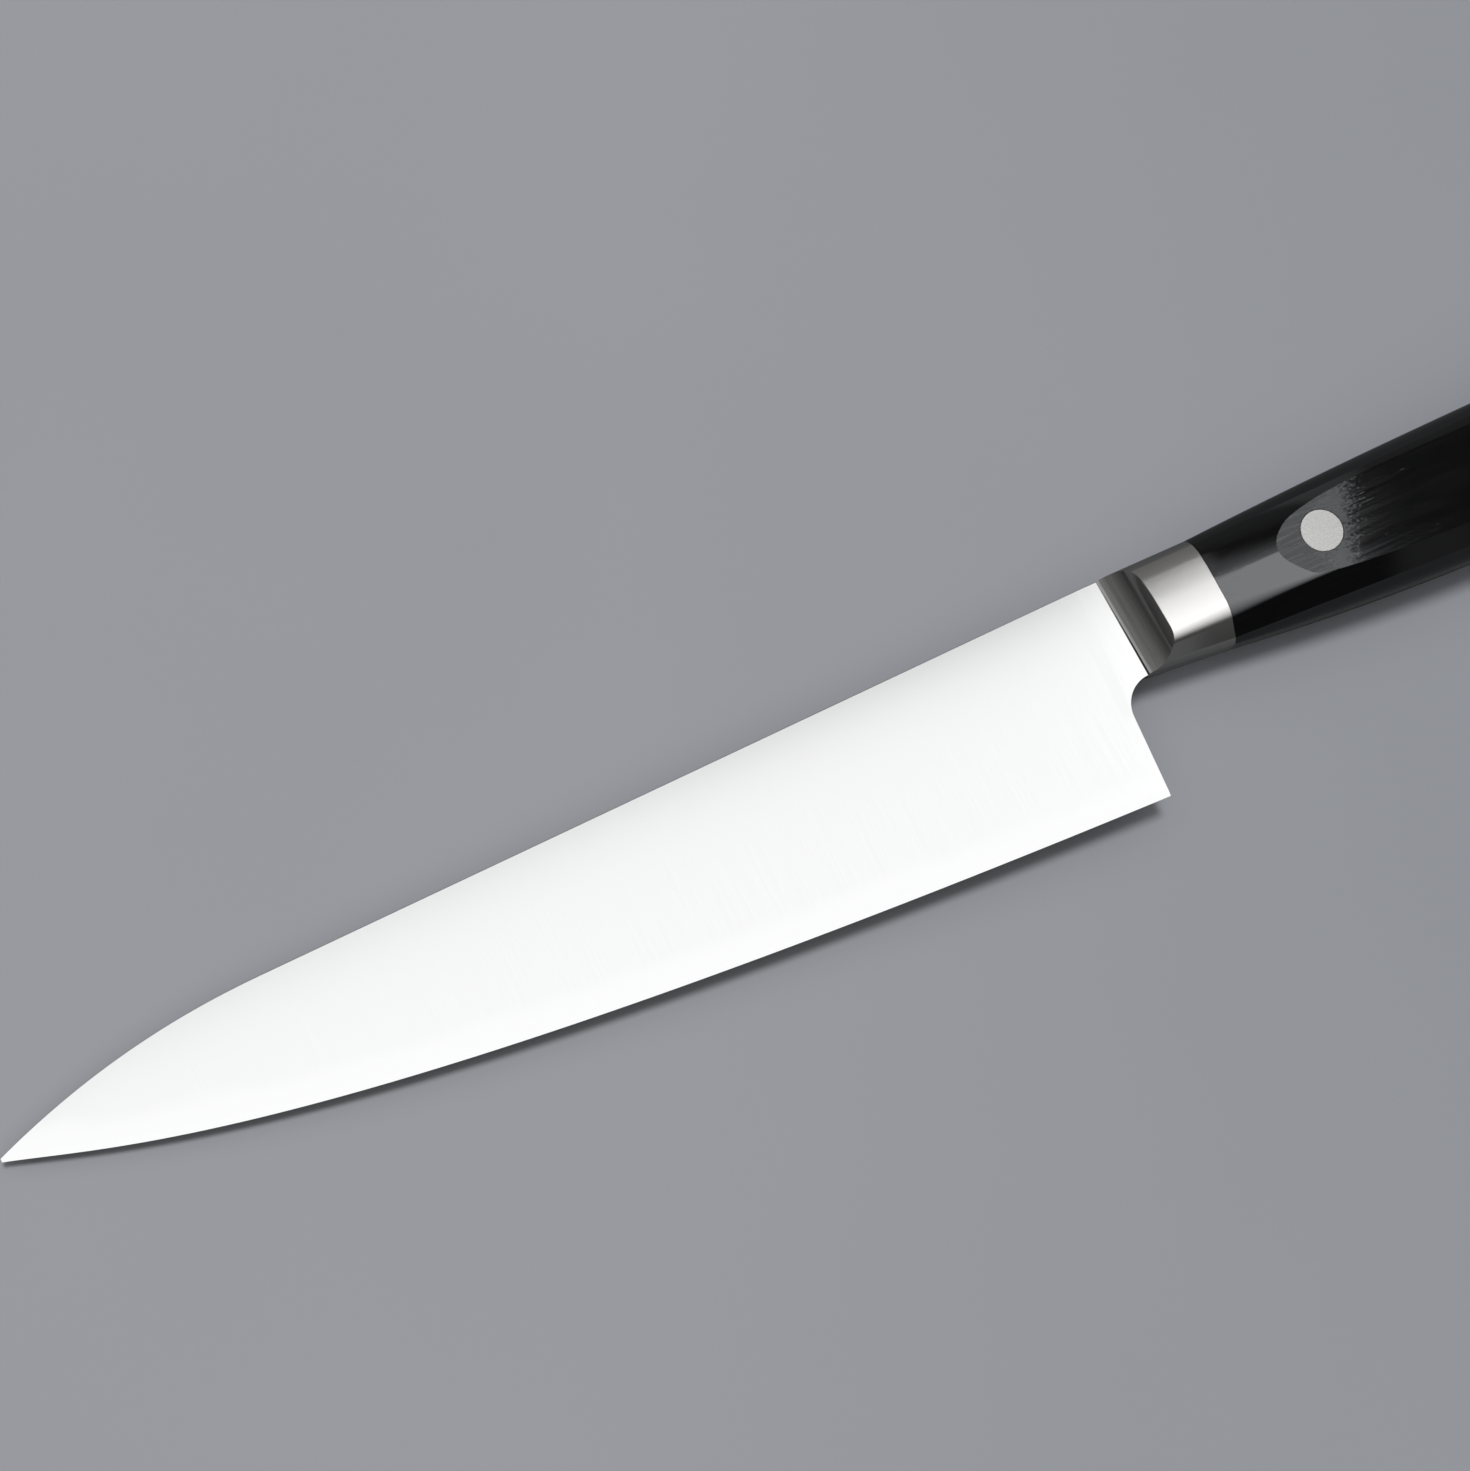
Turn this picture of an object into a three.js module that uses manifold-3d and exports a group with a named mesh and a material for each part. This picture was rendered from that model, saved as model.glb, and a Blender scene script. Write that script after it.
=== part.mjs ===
// Petty knife: a full-tang kitchen knife with a welded steel bolster, two black wooden handle scales
// and three two-piece rivets. It lies on its right side, as it would on a table.
//
// While it is built, x runs from the tip to the butt with 0 at the heel, y rises from the edge to the
// spine with 0 at the spine over the heel, and z crosses the blade with 0 on its middle plane.
// Lengths are millimetres.
import * as THREE from "three";
import { mergeVertices } from "three/addons/utils/BufferGeometryUtils.js";
import Module from "manifold-3d";

// Blade outline. The pulls are the shares of the blade's length over which the edge keeps its
// direction at the tip and at the heel.
const BLADE_LENGTH = 148.7;
const HEEL_HEIGHT = 28.85;
const TIP_DROP = 8.9;
const TIP_HEIGHT = 0.5;
const SPINE_SLOPE_DEG = 0.72;
const SPINE_SWEEP_LENGTH = 36.5;
const SPINE_SWEEP_POWER = 2.1;
const EDGE_TIP_DEG = 16.7;
const EDGE_TIP_PULL = 0.094;
const EDGE_HEEL_DEG = 2.7;
const EDGE_HEEL_PULL = 0.773;
const HEEL_LEAN_DEG = 2.9;
const CHOIL_RADIUS = 4.3;
const NECK_LENGTH = 5.0;

// Blade thickness. The plate keeps its full thickness along the tang, tapers to the tip, and is ground
// to a wedge whose faces swell a little between the spine and the bevel of the edge.
const PLATE_THICKNESS = 2.0;
const TIP_THICKNESS = 0.12;
const TAPER_POWER = 0.55;
const GRIND_SWELL = 0.3;
const BEVEL_THICKNESS = 0.34;
const BEVEL_HEIGHT = 0.8;
const BEVEL_MOST_OF_HEIGHT = 0.25;

// Bolster: two cheeks, each with a thin lip on the blade and a scoop that rises to the cheek's side
const BOLSTER_LENGTH = 12.0;
const BOLSTER_LEAN_DEG = 2.0;
const LIP_THICKNESS = 0.3;
const LIP_LENGTH = 0.25;
const SCOOP_RADIUS = 7.0;
const SCOOP_START_DEG = 25;

// Handle outline: the back rises to a crest and falls to the butt; the belly falls to a swell, draws
// in again and flares at the butt.
const SCALE_LENGTH = 98;
const FRONT_BELLY = 13.75;
const JOINT_BACK = -0.13;
const JOINT_BELLY = 14.95;
const CREST_SETBACK = 53;
const CREST_BACK = 0.92;
const SWELL_SETBACK = 58;
const SWELL_BELLY = 18.6;
const WAIST_DRAW = 4.1;
const BUTT_BACK = -2.3;
const BUTT_BELLY = 20.4;
const BUTT_TOP_RADIUS = 9;
const BUTT_BOTTOM_RADIUS = 6;
const BUTT_EDGE_RADIUS = 2.5;

// Handle section: round shoulders, crowned sides, a ridge low on each side, soft at the bolster and crisp
// on the grip, and a slanted flank down to a rounded keel. Behind the bolster the body flares past the
// grip's thickness by the margins, and the two flats cut it back.
const GRIP_THICKNESS = 14;
const FLARE_LENGTH = 27;
const FRONT_SHOULDER_WIDTH = 9.5;
const FRONT_RIDGE_WIDTH = 10.75;
const JOINT_SHOULDER_WIDTH = 9.8;
const JOINT_RIDGE_WIDTH = 11.15;
const JOINT_CROWN = 0.35;
const JOINT_CROWN_PLACE = 0.48;
const FLARE_SHOULDER_MARGIN = 0.1;
const FLARE_RIDGE_MARGIN = 1.2;
const FLARE_CROWN = 0.95;
const FLARE_CROWN_PLACE = 0.66;
const BUTT_MARGIN = 0.1;
const JOINT_SIDE_RADIUS = 28;
const FLARE_SIDE_RADIUS = 12;
const JOINT_SHOULDER_RADIUS = 3.8;
const FLARE_SHOULDER_RADIUS = 6.5;
const FRONT_RIDGE_RISE = 2.3;
const JOINT_RIDGE_RISE = 3.6;
const FLARE_RIDGE_RISE = 4.1;
const RIDGE_MOST_OF_HEIGHT = 0.33;
const FRONT_RIDGE_RADIUS = 2.4;
const JOINT_RIDGE_RADIUS = 3.6;
const GRIP_RIDGE_RADIUS = 0.4;
const JOINT_KEEL_WIDTH = 3.5;
const GRIP_KEEL_WIDTH = 6;
const JOINT_KEEL_RADIUS = 2.5;
const GRIP_KEEL_RADIUS = 5;
const ROUNDING_ROOM = 0.99;

// Rivets: a stud held in a sleeve, both heads ground flush with the flats
const RIVET_NAMES = ["front", "middle", "rear"];
const FRONT_RIVET_SETBACK = 15.5;
const REAR_RIVET_SETBACK = 24.5;
const RIVET_ABOVE_CENTRE = 0.82;
const RIVET_HEAD_DIAMETER = 5.7;
const RIVET_HEAD_DEPTH = 3.0;
const SLEEVE_WALL = 0.65;
const STUD_DIAMETER = 2.5;

// Clearances
const GLUE_LINE = 0.05;
const RIVET_CLEARANCE = 0.05;
const RIVET_END_GAP = 0.4;

// Steps of the faceted curves
const BLADE_STEPS = 44;
const FACE_STEPS = 8;
const FLARE_STEP_LENGTH = 2.2;
const GRIP_STEP_LENGTH = 4.4;
const SHOULDER_STEPS = 8;
const SIDE_STEPS = 4;
const RIDGE_STEPS = 5;
const KEEL_STEPS = 4;
const CORNER_STEPS = 10;
const ROUND_STEPS = 28;
const MERGE_DISTANCE = 1e-4;

const lerp = THREE.MathUtils.lerp;
const radians = THREE.MathUtils.degToRad;

const neckX = NECK_LENGTH;
const jointX = neckX + BOLSTER_LENGTH;
const flareX = jointX + FLARE_LENGTH;
const buttX = jointX + SCALE_LENGTH;
const plateHalf = PLATE_THICKNESS / 2;
const gripHalf = GRIP_THICKNESS / 2;
const cheekZ = plateHalf + GLUE_LINE;
const farOut = BLADE_LENGTH + SCALE_LENGTH;

const wasm = await Module();
wasm.setup();

// The share of the way from one place to another, held at both ends.
function share(x, from, to) {
  return THREE.MathUtils.clamp((x - from) / (to - from), 0, 1);
}

// A share that starts fast and comes to rest.
function easeOut(s) {
  return 1 - (1 - s) ** 2;
}

// How far a round corner that ends at endX has drawn in at x.
function cornerInset(x, endX, radius) {
  const past = THREE.MathUtils.clamp(x - (endX - radius), 0, radius);
  return radius - Math.sqrt(radius ** 2 - past ** 2);
}

// Solids

function solidOf(geometry) {
  geometry.deleteAttribute("normal");
  geometry.deleteAttribute("uv");
  const merged = mergeVertices(geometry, MERGE_DISTANCE);
  const vertProperties = new Float32Array(merged.attributes.position.array);
  const triVerts = new Uint32Array(merged.index.array);
  return new wasm.Manifold(new wasm.Mesh({ numProp: 3, vertProperties, triVerts }));
}

// A closed skin over rings of equal count that turn from +y to +z, with a flat cap at each end.
function loft(rings) {
  const count = rings[0].length;
  const last = rings.length - 1;
  const indices = [];
  const at = (ring, i) => ring * count + (i % count);
  for (let ring = 0; ring < last; ring++) {
    for (let i = 0; i < count; i++) {
      indices.push(at(ring, i), at(ring, i + 1), at(ring + 1, i + 1));
      indices.push(at(ring, i), at(ring + 1, i + 1), at(ring + 1, i));
    }
  }
  for (let i = 1; i + 1 < count; i++) {
    indices.push(at(0, 0), at(0, i + 1), at(0, i));
    indices.push(at(last, 0), at(last, i), at(last, i + 1));
  }
  const geometry = new THREE.BufferGeometry();
  geometry.setFromPoints(rings.flat());
  geometry.setIndex(indices);
  return solidOf(geometry);
}

// A plate of an outline in x and y, as thick as it is deep, centred on the middle plane.
function plate(shape, depth) {
  const options = { depth, bevelEnabled: false, curveSegments: CORNER_STEPS };
  return new THREE.ExtrudeGeometry(shape, options).translate(0, 0, -depth / 2);
}

// A block over the whole height of the knife.
function block(fromX, toX, fromZ, toZ) {
  const geometry = new THREE.BoxGeometry(toX - fromX, farOut, toZ - fromZ);
  return solidOf(geometry.translate((fromX + toX) / 2, 0, (fromZ + toZ) / 2));
}

// A solid turned about an axis along z, from its profile of [radius, z] points.
function turned(profile, x, y) {
  const points = profile.map(([radius, z]) => new THREE.Vector2(radius, z));
  const geometry = new THREE.LatheGeometry(points, ROUND_STEPS);
  return solidOf(geometry.rotateX(Math.PI / 2).translate(x, y, 0));
}

// Blade

function spineY(x) {
  const slope = Math.tan(radians(SPINE_SLOPE_DEG));
  const sweep = share(x, SPINE_SWEEP_LENGTH - BLADE_LENGTH, -BLADE_LENGTH) ** SPINE_SWEEP_POWER;
  return Math.min(x, 0) * slope - (TIP_DROP - TIP_HEIGHT - BLADE_LENGTH * slope) * sweep;
}

// The edge from the tip to the heel.
function edgeCurve() {
  const tip = new THREE.Vector2(-BLADE_LENGTH, -TIP_DROP);
  const heel = new THREE.Vector2(0, -HEEL_HEIGHT);
  const fromTip = new THREE.Vector2(EDGE_TIP_PULL * BLADE_LENGTH, 0);
  const fromHeel = new THREE.Vector2(-EDGE_HEEL_PULL * BLADE_LENGTH, 0);
  const origin = new THREE.Vector2();
  fromTip.rotateAround(origin, -radians(EDGE_TIP_DEG)).add(tip);
  fromHeel.rotateAround(origin, -radians(EDGE_HEEL_DEG)).add(heel);
  return new THREE.CubicBezierCurve(tip, fromTip, fromHeel, heel);
}

// One section of the wedge: down the left face from the spine, through the edge and up the right face.
function bladeRing(x, edgeY) {
  const height = spineY(x) - edgeY;
  const bevel = Math.min(BEVEL_HEIGHT, BEVEL_MOST_OF_HEIGHT * height);
  const taper = share(x, -BLADE_LENGTH, 0) ** TAPER_POWER;
  const spineHalf = lerp(TIP_THICKNESS, PLATE_THICKNESS, taper) / 2;
  const bevelHalf = (BEVEL_THICKNESS / 2) * (bevel / BEVEL_HEIGHT);
  const left = [];
  for (let i = 0; i <= FACE_STEPS; i++) {
    const up = 1 - i / FACE_STEPS;
    const swollen = up * (1 + GRIND_SWELL * (1 - up));
    left.push(new THREE.Vector3(x, edgeY + lerp(bevel, height, up), lerp(bevelHalf, spineHalf, swollen)));
  }
  const right = left.map((p) => new THREE.Vector3(p.x, p.y, -p.z)).reverse();
  return [...left, new THREE.Vector3(x, edgeY, 0), ...right];
}

function bladeWedge() {
  const edge = edgeCurve();
  const rings = [];
  for (let i = 0; i <= BLADE_STEPS; i++) {
    const p = edge.getPoint(i / BLADE_STEPS);
    rings.push(bladeRing(p.x, p.y));
  }
  const underLip = neckX + 2 * LIP_LENGTH;
  rings.push(bladeRing(underLip, -HEEL_HEIGHT - underLip * Math.tan(radians(EDGE_HEEL_DEG))));
  return loft(rings);
}

// What is cut away behind the heel: its back edge leans a little, then turns under the neck as the
// round choil.
function heelCut() {
  const lean = radians(HEEL_LEAN_DEG);
  const low = -HEEL_HEIGHT - CHOIL_RADIUS;
  const centreY = -FRONT_BELLY - CHOIL_RADIUS;
  const tangentY = centreY + CHOIL_RADIUS * Math.sin(lean);
  const centreX = (tangentY + HEEL_HEIGHT) * Math.tan(lean) + CHOIL_RADIUS * Math.cos(lean);
  const shape = new THREE.Shape();
  shape.moveTo((low + HEEL_HEIGHT) * Math.tan(lean), low);
  shape.lineTo((tangentY + HEEL_HEIGHT) * Math.tan(lean), tangentY);
  shape.absarc(centreX, centreY, CHOIL_RADIUS, Math.PI - lean, Math.PI / 2, true);
  shape.lineTo(buttX, -FRONT_BELLY);
  shape.lineTo(buttX, low);
  return solidOf(plate(shape, 2 * PLATE_THICKNESS));
}

// Body of bolster and handle in one, later cut into tang, cheeks and scales

function backY(x) {
  const crestX = jointX + CREST_SETBACK;
  const front = JOINT_BACK * share(x, neckX, jointX);
  const rise = (CREST_BACK - JOINT_BACK) * easeOut(share(x, jointX, crestX));
  const fall = (CREST_BACK - BUTT_BACK) * share(x, crestX, buttX) ** 2;
  return front + rise - fall - cornerInset(x, buttX, BUTT_TOP_RADIUS);
}

function bellyY(x) {
  const swellX = jointX + SWELL_SETBACK;
  const front = lerp(FRONT_BELLY, JOINT_BELLY, share(x, neckX, jointX));
  const swell = (SWELL_BELLY - JOINT_BELLY) * easeOut(share(x, jointX, swellX));
  const past = share(x, swellX, buttX);
  const flare = (BUTT_BELLY - SWELL_BELLY + WAIST_DRAW) * past ** 3 - WAIST_DRAW * past ** 2;
  return cornerInset(x, buttX, BUTT_BOTTOM_RADIUS) - front - swell - flare;
}

// Sizes of the section at the bolster's front, at the joint, where the flare ends and at the butt
const buttWidth = GRIP_THICKNESS + BUTT_MARGIN;
const flareShoulderWidth = GRIP_THICKNESS + FLARE_SHOULDER_MARGIN;
const flareRidgeWidth = GRIP_THICKNESS + FLARE_RIDGE_MARGIN;
const shoulderWidths = [FRONT_SHOULDER_WIDTH, JOINT_SHOULDER_WIDTH, flareShoulderWidth, buttWidth];
const ridgeWidths = [FRONT_RIDGE_WIDTH, JOINT_RIDGE_WIDTH, flareRidgeWidth, buttWidth];
const crowns = [JOINT_CROWN, JOINT_CROWN, FLARE_CROWN, BUTT_MARGIN];
const crownPlaces = [JOINT_CROWN_PLACE, JOINT_CROWN_PLACE, FLARE_CROWN_PLACE, FLARE_CROWN_PLACE];
const sideRadii = [JOINT_SIDE_RADIUS, JOINT_SIDE_RADIUS, FLARE_SIDE_RADIUS, FLARE_SIDE_RADIUS];
const bolsterRadii = [JOINT_SHOULDER_RADIUS, JOINT_SHOULDER_RADIUS];
const shoulderRadii = [...bolsterRadii, FLARE_SHOULDER_RADIUS, FLARE_SHOULDER_RADIUS];
const ridgeRises = [FRONT_RIDGE_RISE, JOINT_RIDGE_RISE, FLARE_RIDGE_RISE, FLARE_RIDGE_RISE];
const ridgeRadii = [FRONT_RIDGE_RADIUS, JOINT_RIDGE_RADIUS, GRIP_RIDGE_RADIUS, GRIP_RIDGE_RADIUS];
const keelWidths = [JOINT_KEEL_WIDTH, JOINT_KEEL_WIDTH, GRIP_KEEL_WIDTH, GRIP_KEEL_WIDTH];
const keelRadii = [JOINT_KEEL_RADIUS, JOINT_KEEL_RADIUS, GRIP_KEEL_RADIUS, GRIP_KEEL_RADIUS];

function sectionSize(x, [front, joint, flare, butt]) {
  if (x < jointX) return lerp(front, joint, share(x, neckX, jointX));
  if (x < flareX) return lerp(joint, flare, easeOut(share(x, jointX, flareX)));
  return lerp(flare, butt, share(x, flareX, buttX));
}

// A convex outline with rounded corners; a corner is a point, its radius and its number of steps. Where
// two roundings would meet on a short side, both give way.
function roundedOutline(corners) {
  const sides = corners.map((corner, i) => {
    const toBefore = corners.at(i - 1).at.clone().sub(corner.at);
    const toAfter = corners[(i + 1) % corners.length].at.clone().sub(corner.at);
    const halfAngle = toBefore.angleTo(toAfter) / 2;
    return { toBefore, toAfter, halfAngle, reach: corner.radius / Math.tan(halfAngle) };
  });
  return corners.flatMap((corner, i) => {
    const { toBefore, toAfter, halfAngle, reach } = sides[i];
    const roomBefore = toBefore.length() / (reach + sides.at(i - 1).reach);
    const roomAfter = toAfter.length() / (reach + sides[(i + 1) % sides.length].reach);
    const radius = corner.radius * Math.min(1, ROUNDING_ROOM * roomBefore, ROUNDING_ROOM * roomAfter);
    const inward = toBefore.normalize().add(toAfter.normalize()).normalize();
    const centre = inward.clone().multiplyScalar(radius / Math.sin(halfAngle)).add(corner.at);
    const outward = inward.negate().angle();
    const turn = Math.PI - 2 * halfAngle;
    const points = [];
    for (let k = 0; k <= corner.steps; k++) {
      const angle = outward + turn * (k / corner.steps - 1 / 2);
      points.push(new THREE.Vector2(Math.cos(angle), Math.sin(angle)).multiplyScalar(radius).add(centre));
    }
    return points;
  });
}

// One section of the body: shoulder, crowned side, ridge and keel on the left, and back up on the right.
function bodyRing(x) {
  const back = backY(x);
  const belly = bellyY(x);
  const ridgeY = belly + Math.min(sectionSize(x, ridgeRises), RIDGE_MOST_OF_HEIGHT * (back - belly));
  const edgeInset = cornerInset(x, buttX, BUTT_EDGE_RADIUS);
  const shoulderZ = sectionSize(x, shoulderWidths) / 2 - edgeInset;
  const ridgeZ = sectionSize(x, ridgeWidths) / 2 - edgeInset;
  const crownPlace = sectionSize(x, crownPlaces);
  const crownY = lerp(back, ridgeY, crownPlace);
  const crownZ = lerp(shoulderZ, ridgeZ, crownPlace) + sectionSize(x, crowns);
  const left = [
    { y: back, z: shoulderZ, radius: sectionSize(x, shoulderRadii), steps: SHOULDER_STEPS },
    { y: crownY, z: crownZ, radius: sectionSize(x, sideRadii), steps: SIDE_STEPS },
    { y: ridgeY, z: ridgeZ, radius: sectionSize(x, ridgeRadii), steps: RIDGE_STEPS },
    { y: belly, z: sectionSize(x, keelWidths) / 2, radius: sectionSize(x, keelRadii), steps: KEEL_STEPS },
  ];
  const right = left.map((corner) => ({ ...corner, z: -corner.z })).reverse();
  const corners = [...left, ...right].map(({ y, z, radius, steps }) => {
    return { at: new THREE.Vector2(y, z), radius, steps };
  });
  return roundedOutline(corners).map((p) => new THREE.Vector3(x, p.x, p.y));
}

// The body starts with enough stock for the cheeks' leaning fronts to be cut from.
function handleBody() {
  const stockX = neckX - LIP_LENGTH - FRONT_BELLY * Math.tan(radians(BOLSTER_LEAN_DEG));
  const roundX = buttX - BUTT_TOP_RADIUS;
  const stations = [];
  for (const [from, to, stepLength] of [
    [stockX, jointX, FLARE_STEP_LENGTH],
    [jointX, flareX, FLARE_STEP_LENGTH],
    [flareX, roundX, GRIP_STEP_LENGTH],
  ]) {
    const steps = Math.ceil((to - from) / stepLength);
    for (let i = 0; i < steps; i++) stations.push(lerp(from, to, i / steps));
  }
  for (let i = 0; i <= CORNER_STEPS; i++) {
    stations.push(roundX + BUTT_TOP_RADIUS * Math.sin(((i / CORNER_STEPS) * Math.PI) / 2));
  }
  return loft(stations.map(bodyRing));
}

// What is cut off a cheek's front: the stock before its leaning front face, and the scoop that leaves the
// lip standing on the blade; side is 1 on the left.
function scoopCut(side) {
  const start = radians(SCOOP_START_DEG);
  const lipZ = cheekZ + LIP_THICKNESS;
  const centreX = LIP_LENGTH - SCOOP_RADIUS * Math.sin(start);
  const centreZ = lipZ + SCOOP_RADIUS * Math.cos(start);
  const shape = new THREE.Shape();
  shape.moveTo(-SCOOP_RADIUS, 0);
  shape.lineTo(0, 0);
  shape.lineTo(0, side * lipZ);
  shape.lineTo(LIP_LENGTH, side * lipZ);
  shape.absarc(centreX, side * centreZ, SCOOP_RADIUS, side * (start - Math.PI / 2), 0, side < 0);
  shape.lineTo(centreX + SCOOP_RADIUS, side * farOut);
  shape.lineTo(-SCOOP_RADIUS, side * farOut);
  const standing = plate(shape, farOut).rotateX(Math.PI / 2);
  return solidOf(standing.rotateZ(radians(BOLSTER_LEAN_DEG)).translate(neckX, -FRONT_BELLY, 0));
}

// Rivets

const headRadius = RIVET_HEAD_DIAMETER / 2;
const studRadius = STUD_DIAMETER / 2;
const boreRadius = studRadius + RIVET_CLEARANCE;
const sleeveRadius = boreRadius + SLEEVE_WALL;
const headSeat = gripHalf - RIVET_HEAD_DEPTH;

const rivets = RIVET_NAMES.map((name, i) => {
  const frontX = jointX + FRONT_RIVET_SETBACK;
  const x = lerp(frontX, buttX - REAR_RIVET_SETBACK, i / (RIVET_NAMES.length - 1));
  return { name, x, y: (backY(x) + bellyY(x)) / 2 + RIVET_ABOVE_CENTRE };
});

// The stud's head is on the left side.
function studSolid(x, y) {
  const end = RIVET_END_GAP - headSeat;
  const profile = [
    [0, end],
    [studRadius, end],
    [studRadius, headSeat],
    [headRadius, headSeat],
    [headRadius, gripHalf],
    [0, gripHalf],
  ];
  return turned(profile, x, y);
}

// The sleeve's head is on the right side, and its bore takes the stud.
function sleeveSolid(x, y) {
  const end = headSeat - RIVET_END_GAP;
  const profile = [
    [0, -gripHalf],
    [headRadius, -gripHalf],
    [headRadius, -headSeat],
    [sleeveRadius, -headSeat],
    [sleeveRadius, end],
    [boreRadius, end],
    [boreRadius, -headSeat],
    [0, -headSeat],
  ];
  return turned(profile, x, y);
}

// The hole through scales and tang, counterbored for both heads.
function rivetHole(x, y) {
  const head = headRadius + RIVET_CLEARANCE;
  const shank = sleeveRadius + RIVET_CLEARANCE;
  const seat = headSeat - RIVET_CLEARANCE;
  const profile = [
    [0, -GRIP_THICKNESS],
    [head, -GRIP_THICKNESS],
    [head, -seat],
    [shank, -seat],
    [shank, seat],
    [head, seat],
    [head, GRIP_THICKNESS],
    [0, GRIP_THICKNESS],
  ];
  return turned(profile, x, y);
}

// Assembly

const body = handleBody();
const holes = rivets.map(({ x, y }) => rivetHole(x, y)).reduce((all, hole) => all.add(hole));

function bladeSolid() {
  const tang = body.intersect(block(neckX + LIP_LENGTH, farOut, -plateHalf, plateHalf));
  return bladeWedge().subtract(heelCut()).add(tang).subtract(holes);
}

function bolsterSolid(side) {
  const [low, high] = [side * cheekZ, side * farOut].sort((a, b) => a - b);
  return body.intersect(block(-farOut, jointX, low, high)).subtract(scoopCut(side));
}

function scaleSolid(side) {
  const [low, high] = [side * cheekZ, side * gripHalf].sort((a, b) => a - b);
  return body.intersect(block(jointX + GLUE_LINE, farOut, low, high)).subtract(holes);
}

const polishedSteel = { color: 0xdfe1e2, metalness: 1.0, roughness: 0.16 };
const satinSteel = { color: 0xcfd1d2, metalness: 1.0, roughness: 0.28 };
const rivetSteel = { color: 0xc2c4c6, metalness: 1.0, roughness: 0.36 };
const blackWood = { color: 0x121214, metalness: 0.0, roughness: 0.4 };

function meshOf(name, solid, look) {
  const made = solid.getMesh();
  const geometry = new THREE.BufferGeometry();
  geometry.setAttribute("position", new THREE.BufferAttribute(made.vertProperties, 3));
  geometry.setIndex(new THREE.BufferAttribute(made.triVerts, 1));
  geometry.computeVertexNormals();
  const mesh = new THREE.Mesh(geometry, new THREE.MeshStandardMaterial(look));
  mesh.name = name;
  return mesh;
}

const knife = new THREE.Group();
knife.add(meshOf("blade", bladeSolid(), polishedSteel));
for (const [sideName, side] of [
  ["left", 1],
  ["right", -1],
]) {
  knife.add(meshOf(`bolster_${sideName}`, bolsterSolid(side), satinSteel));
  knife.add(meshOf(`handle_scale_${sideName}`, scaleSolid(side), blackWood));
}
for (const { name, x, y } of rivets) {
  knife.add(meshOf(`${name}_rivet_stud`, studSolid(x, y), rivetSteel));
  knife.add(meshOf(`${name}_rivet_sleeve`, sleeveSolid(x, y), rivetSteel));
}

// The part's own origin is under the middle of the knife as it lies on its right flat.
const extent = new THREE.Box3().setFromObject(knife);
const middle = extent.getCenter(new THREE.Vector3());
knife.position.set(-middle.x, -middle.y, -extent.min.z);

const part = new THREE.Group();
part.add(knife);

export default part;
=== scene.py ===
"""Looks of a petty knife: satin steel blade, polished bolster, black laminated wood scales, flush rivets.

Shapes are worked out in the knife's own axes, in millimetres: x runs from the tip to the butt with 0 at the
heel, y rises from the edge to the spine with 0 at the spine over the heel, and z crosses the blade with 0 on
its middle plane. in_frame() takes them into the frame, in metres.
"""

import math

import bmesh
import bpy
import numpy as np
from mathutils import Matrix, Vector


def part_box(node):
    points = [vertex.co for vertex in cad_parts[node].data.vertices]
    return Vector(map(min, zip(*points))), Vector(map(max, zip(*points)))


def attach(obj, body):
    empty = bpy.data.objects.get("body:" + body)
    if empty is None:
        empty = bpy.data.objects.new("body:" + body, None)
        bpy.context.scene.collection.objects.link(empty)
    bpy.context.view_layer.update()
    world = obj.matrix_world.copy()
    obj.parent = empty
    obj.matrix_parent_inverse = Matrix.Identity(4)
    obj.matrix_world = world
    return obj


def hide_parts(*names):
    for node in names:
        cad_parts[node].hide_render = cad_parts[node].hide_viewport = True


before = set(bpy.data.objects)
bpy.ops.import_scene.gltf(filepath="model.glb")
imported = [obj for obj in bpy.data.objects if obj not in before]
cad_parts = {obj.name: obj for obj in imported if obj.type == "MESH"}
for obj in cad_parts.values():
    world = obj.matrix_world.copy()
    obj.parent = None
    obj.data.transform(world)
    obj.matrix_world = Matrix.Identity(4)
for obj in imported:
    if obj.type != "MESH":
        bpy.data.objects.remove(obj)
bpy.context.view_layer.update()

MM = 0.001

# Blade outline and thickness
BLADE_LENGTH = 148.7
HEEL_HEIGHT = 28.85
TIP_DROP = 8.9
TIP_HEIGHT = 0.5
SPINE_SLOPE = math.radians(0.72)
SPINE_SWEEP_LENGTH = 36.5
SPINE_SWEEP_POWER = 2.1
EDGE_TIP_ANGLE = math.radians(16.7)
EDGE_TIP_PULL = 0.094
EDGE_HEEL_ANGLE = math.radians(2.7)
EDGE_HEEL_PULL = 0.773
HEEL_LEAN = math.radians(2.9)
CHOIL_RADIUS = 4.3
TIP_THICKNESS = 0.12
TAPER_POWER = 0.55
GRIND_SWELL = 0.3
BEVEL_THICKNESS = 0.34
BEVEL_HEIGHT = 0.8
BEVEL_MOST_OF_HEIGHT = 0.25
SPINE_ROUND = 0.06
TANG_ROUND = 0.04
HEEL_ROUND = 0.1

# Bolster
BOLSTER_LENGTH = 12.0
BOLSTER_LEAN = math.radians(2.0)
LIP_THICKNESS = 0.3
LIP_LENGTH = 0.25
LIP_SLANT = 0.11
SCOOP_RADIUS = 7.0
SCOOP_START = math.radians(25)
SCOOP_RIM_ROUND = 0.14

# Handle outline
FRONT_BELLY = 13.75
JOINT_BACK = -0.13
JOINT_BELLY = 14.95
CREST_SETBACK = 53.0
CREST_BACK = 0.92
SWELL_SETBACK = 58.0
SWELL_BELLY = 18.6
WAIST_DRAW = 4.1
BUTT_BACK = -2.3
BUTT_BELLY = 20.4
BUTT_TOP_RADIUS = 9.0
BUTT_BOTTOM_RADIUS = 6.0
BUTT_EDGE_RADIUS = 2.5

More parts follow.
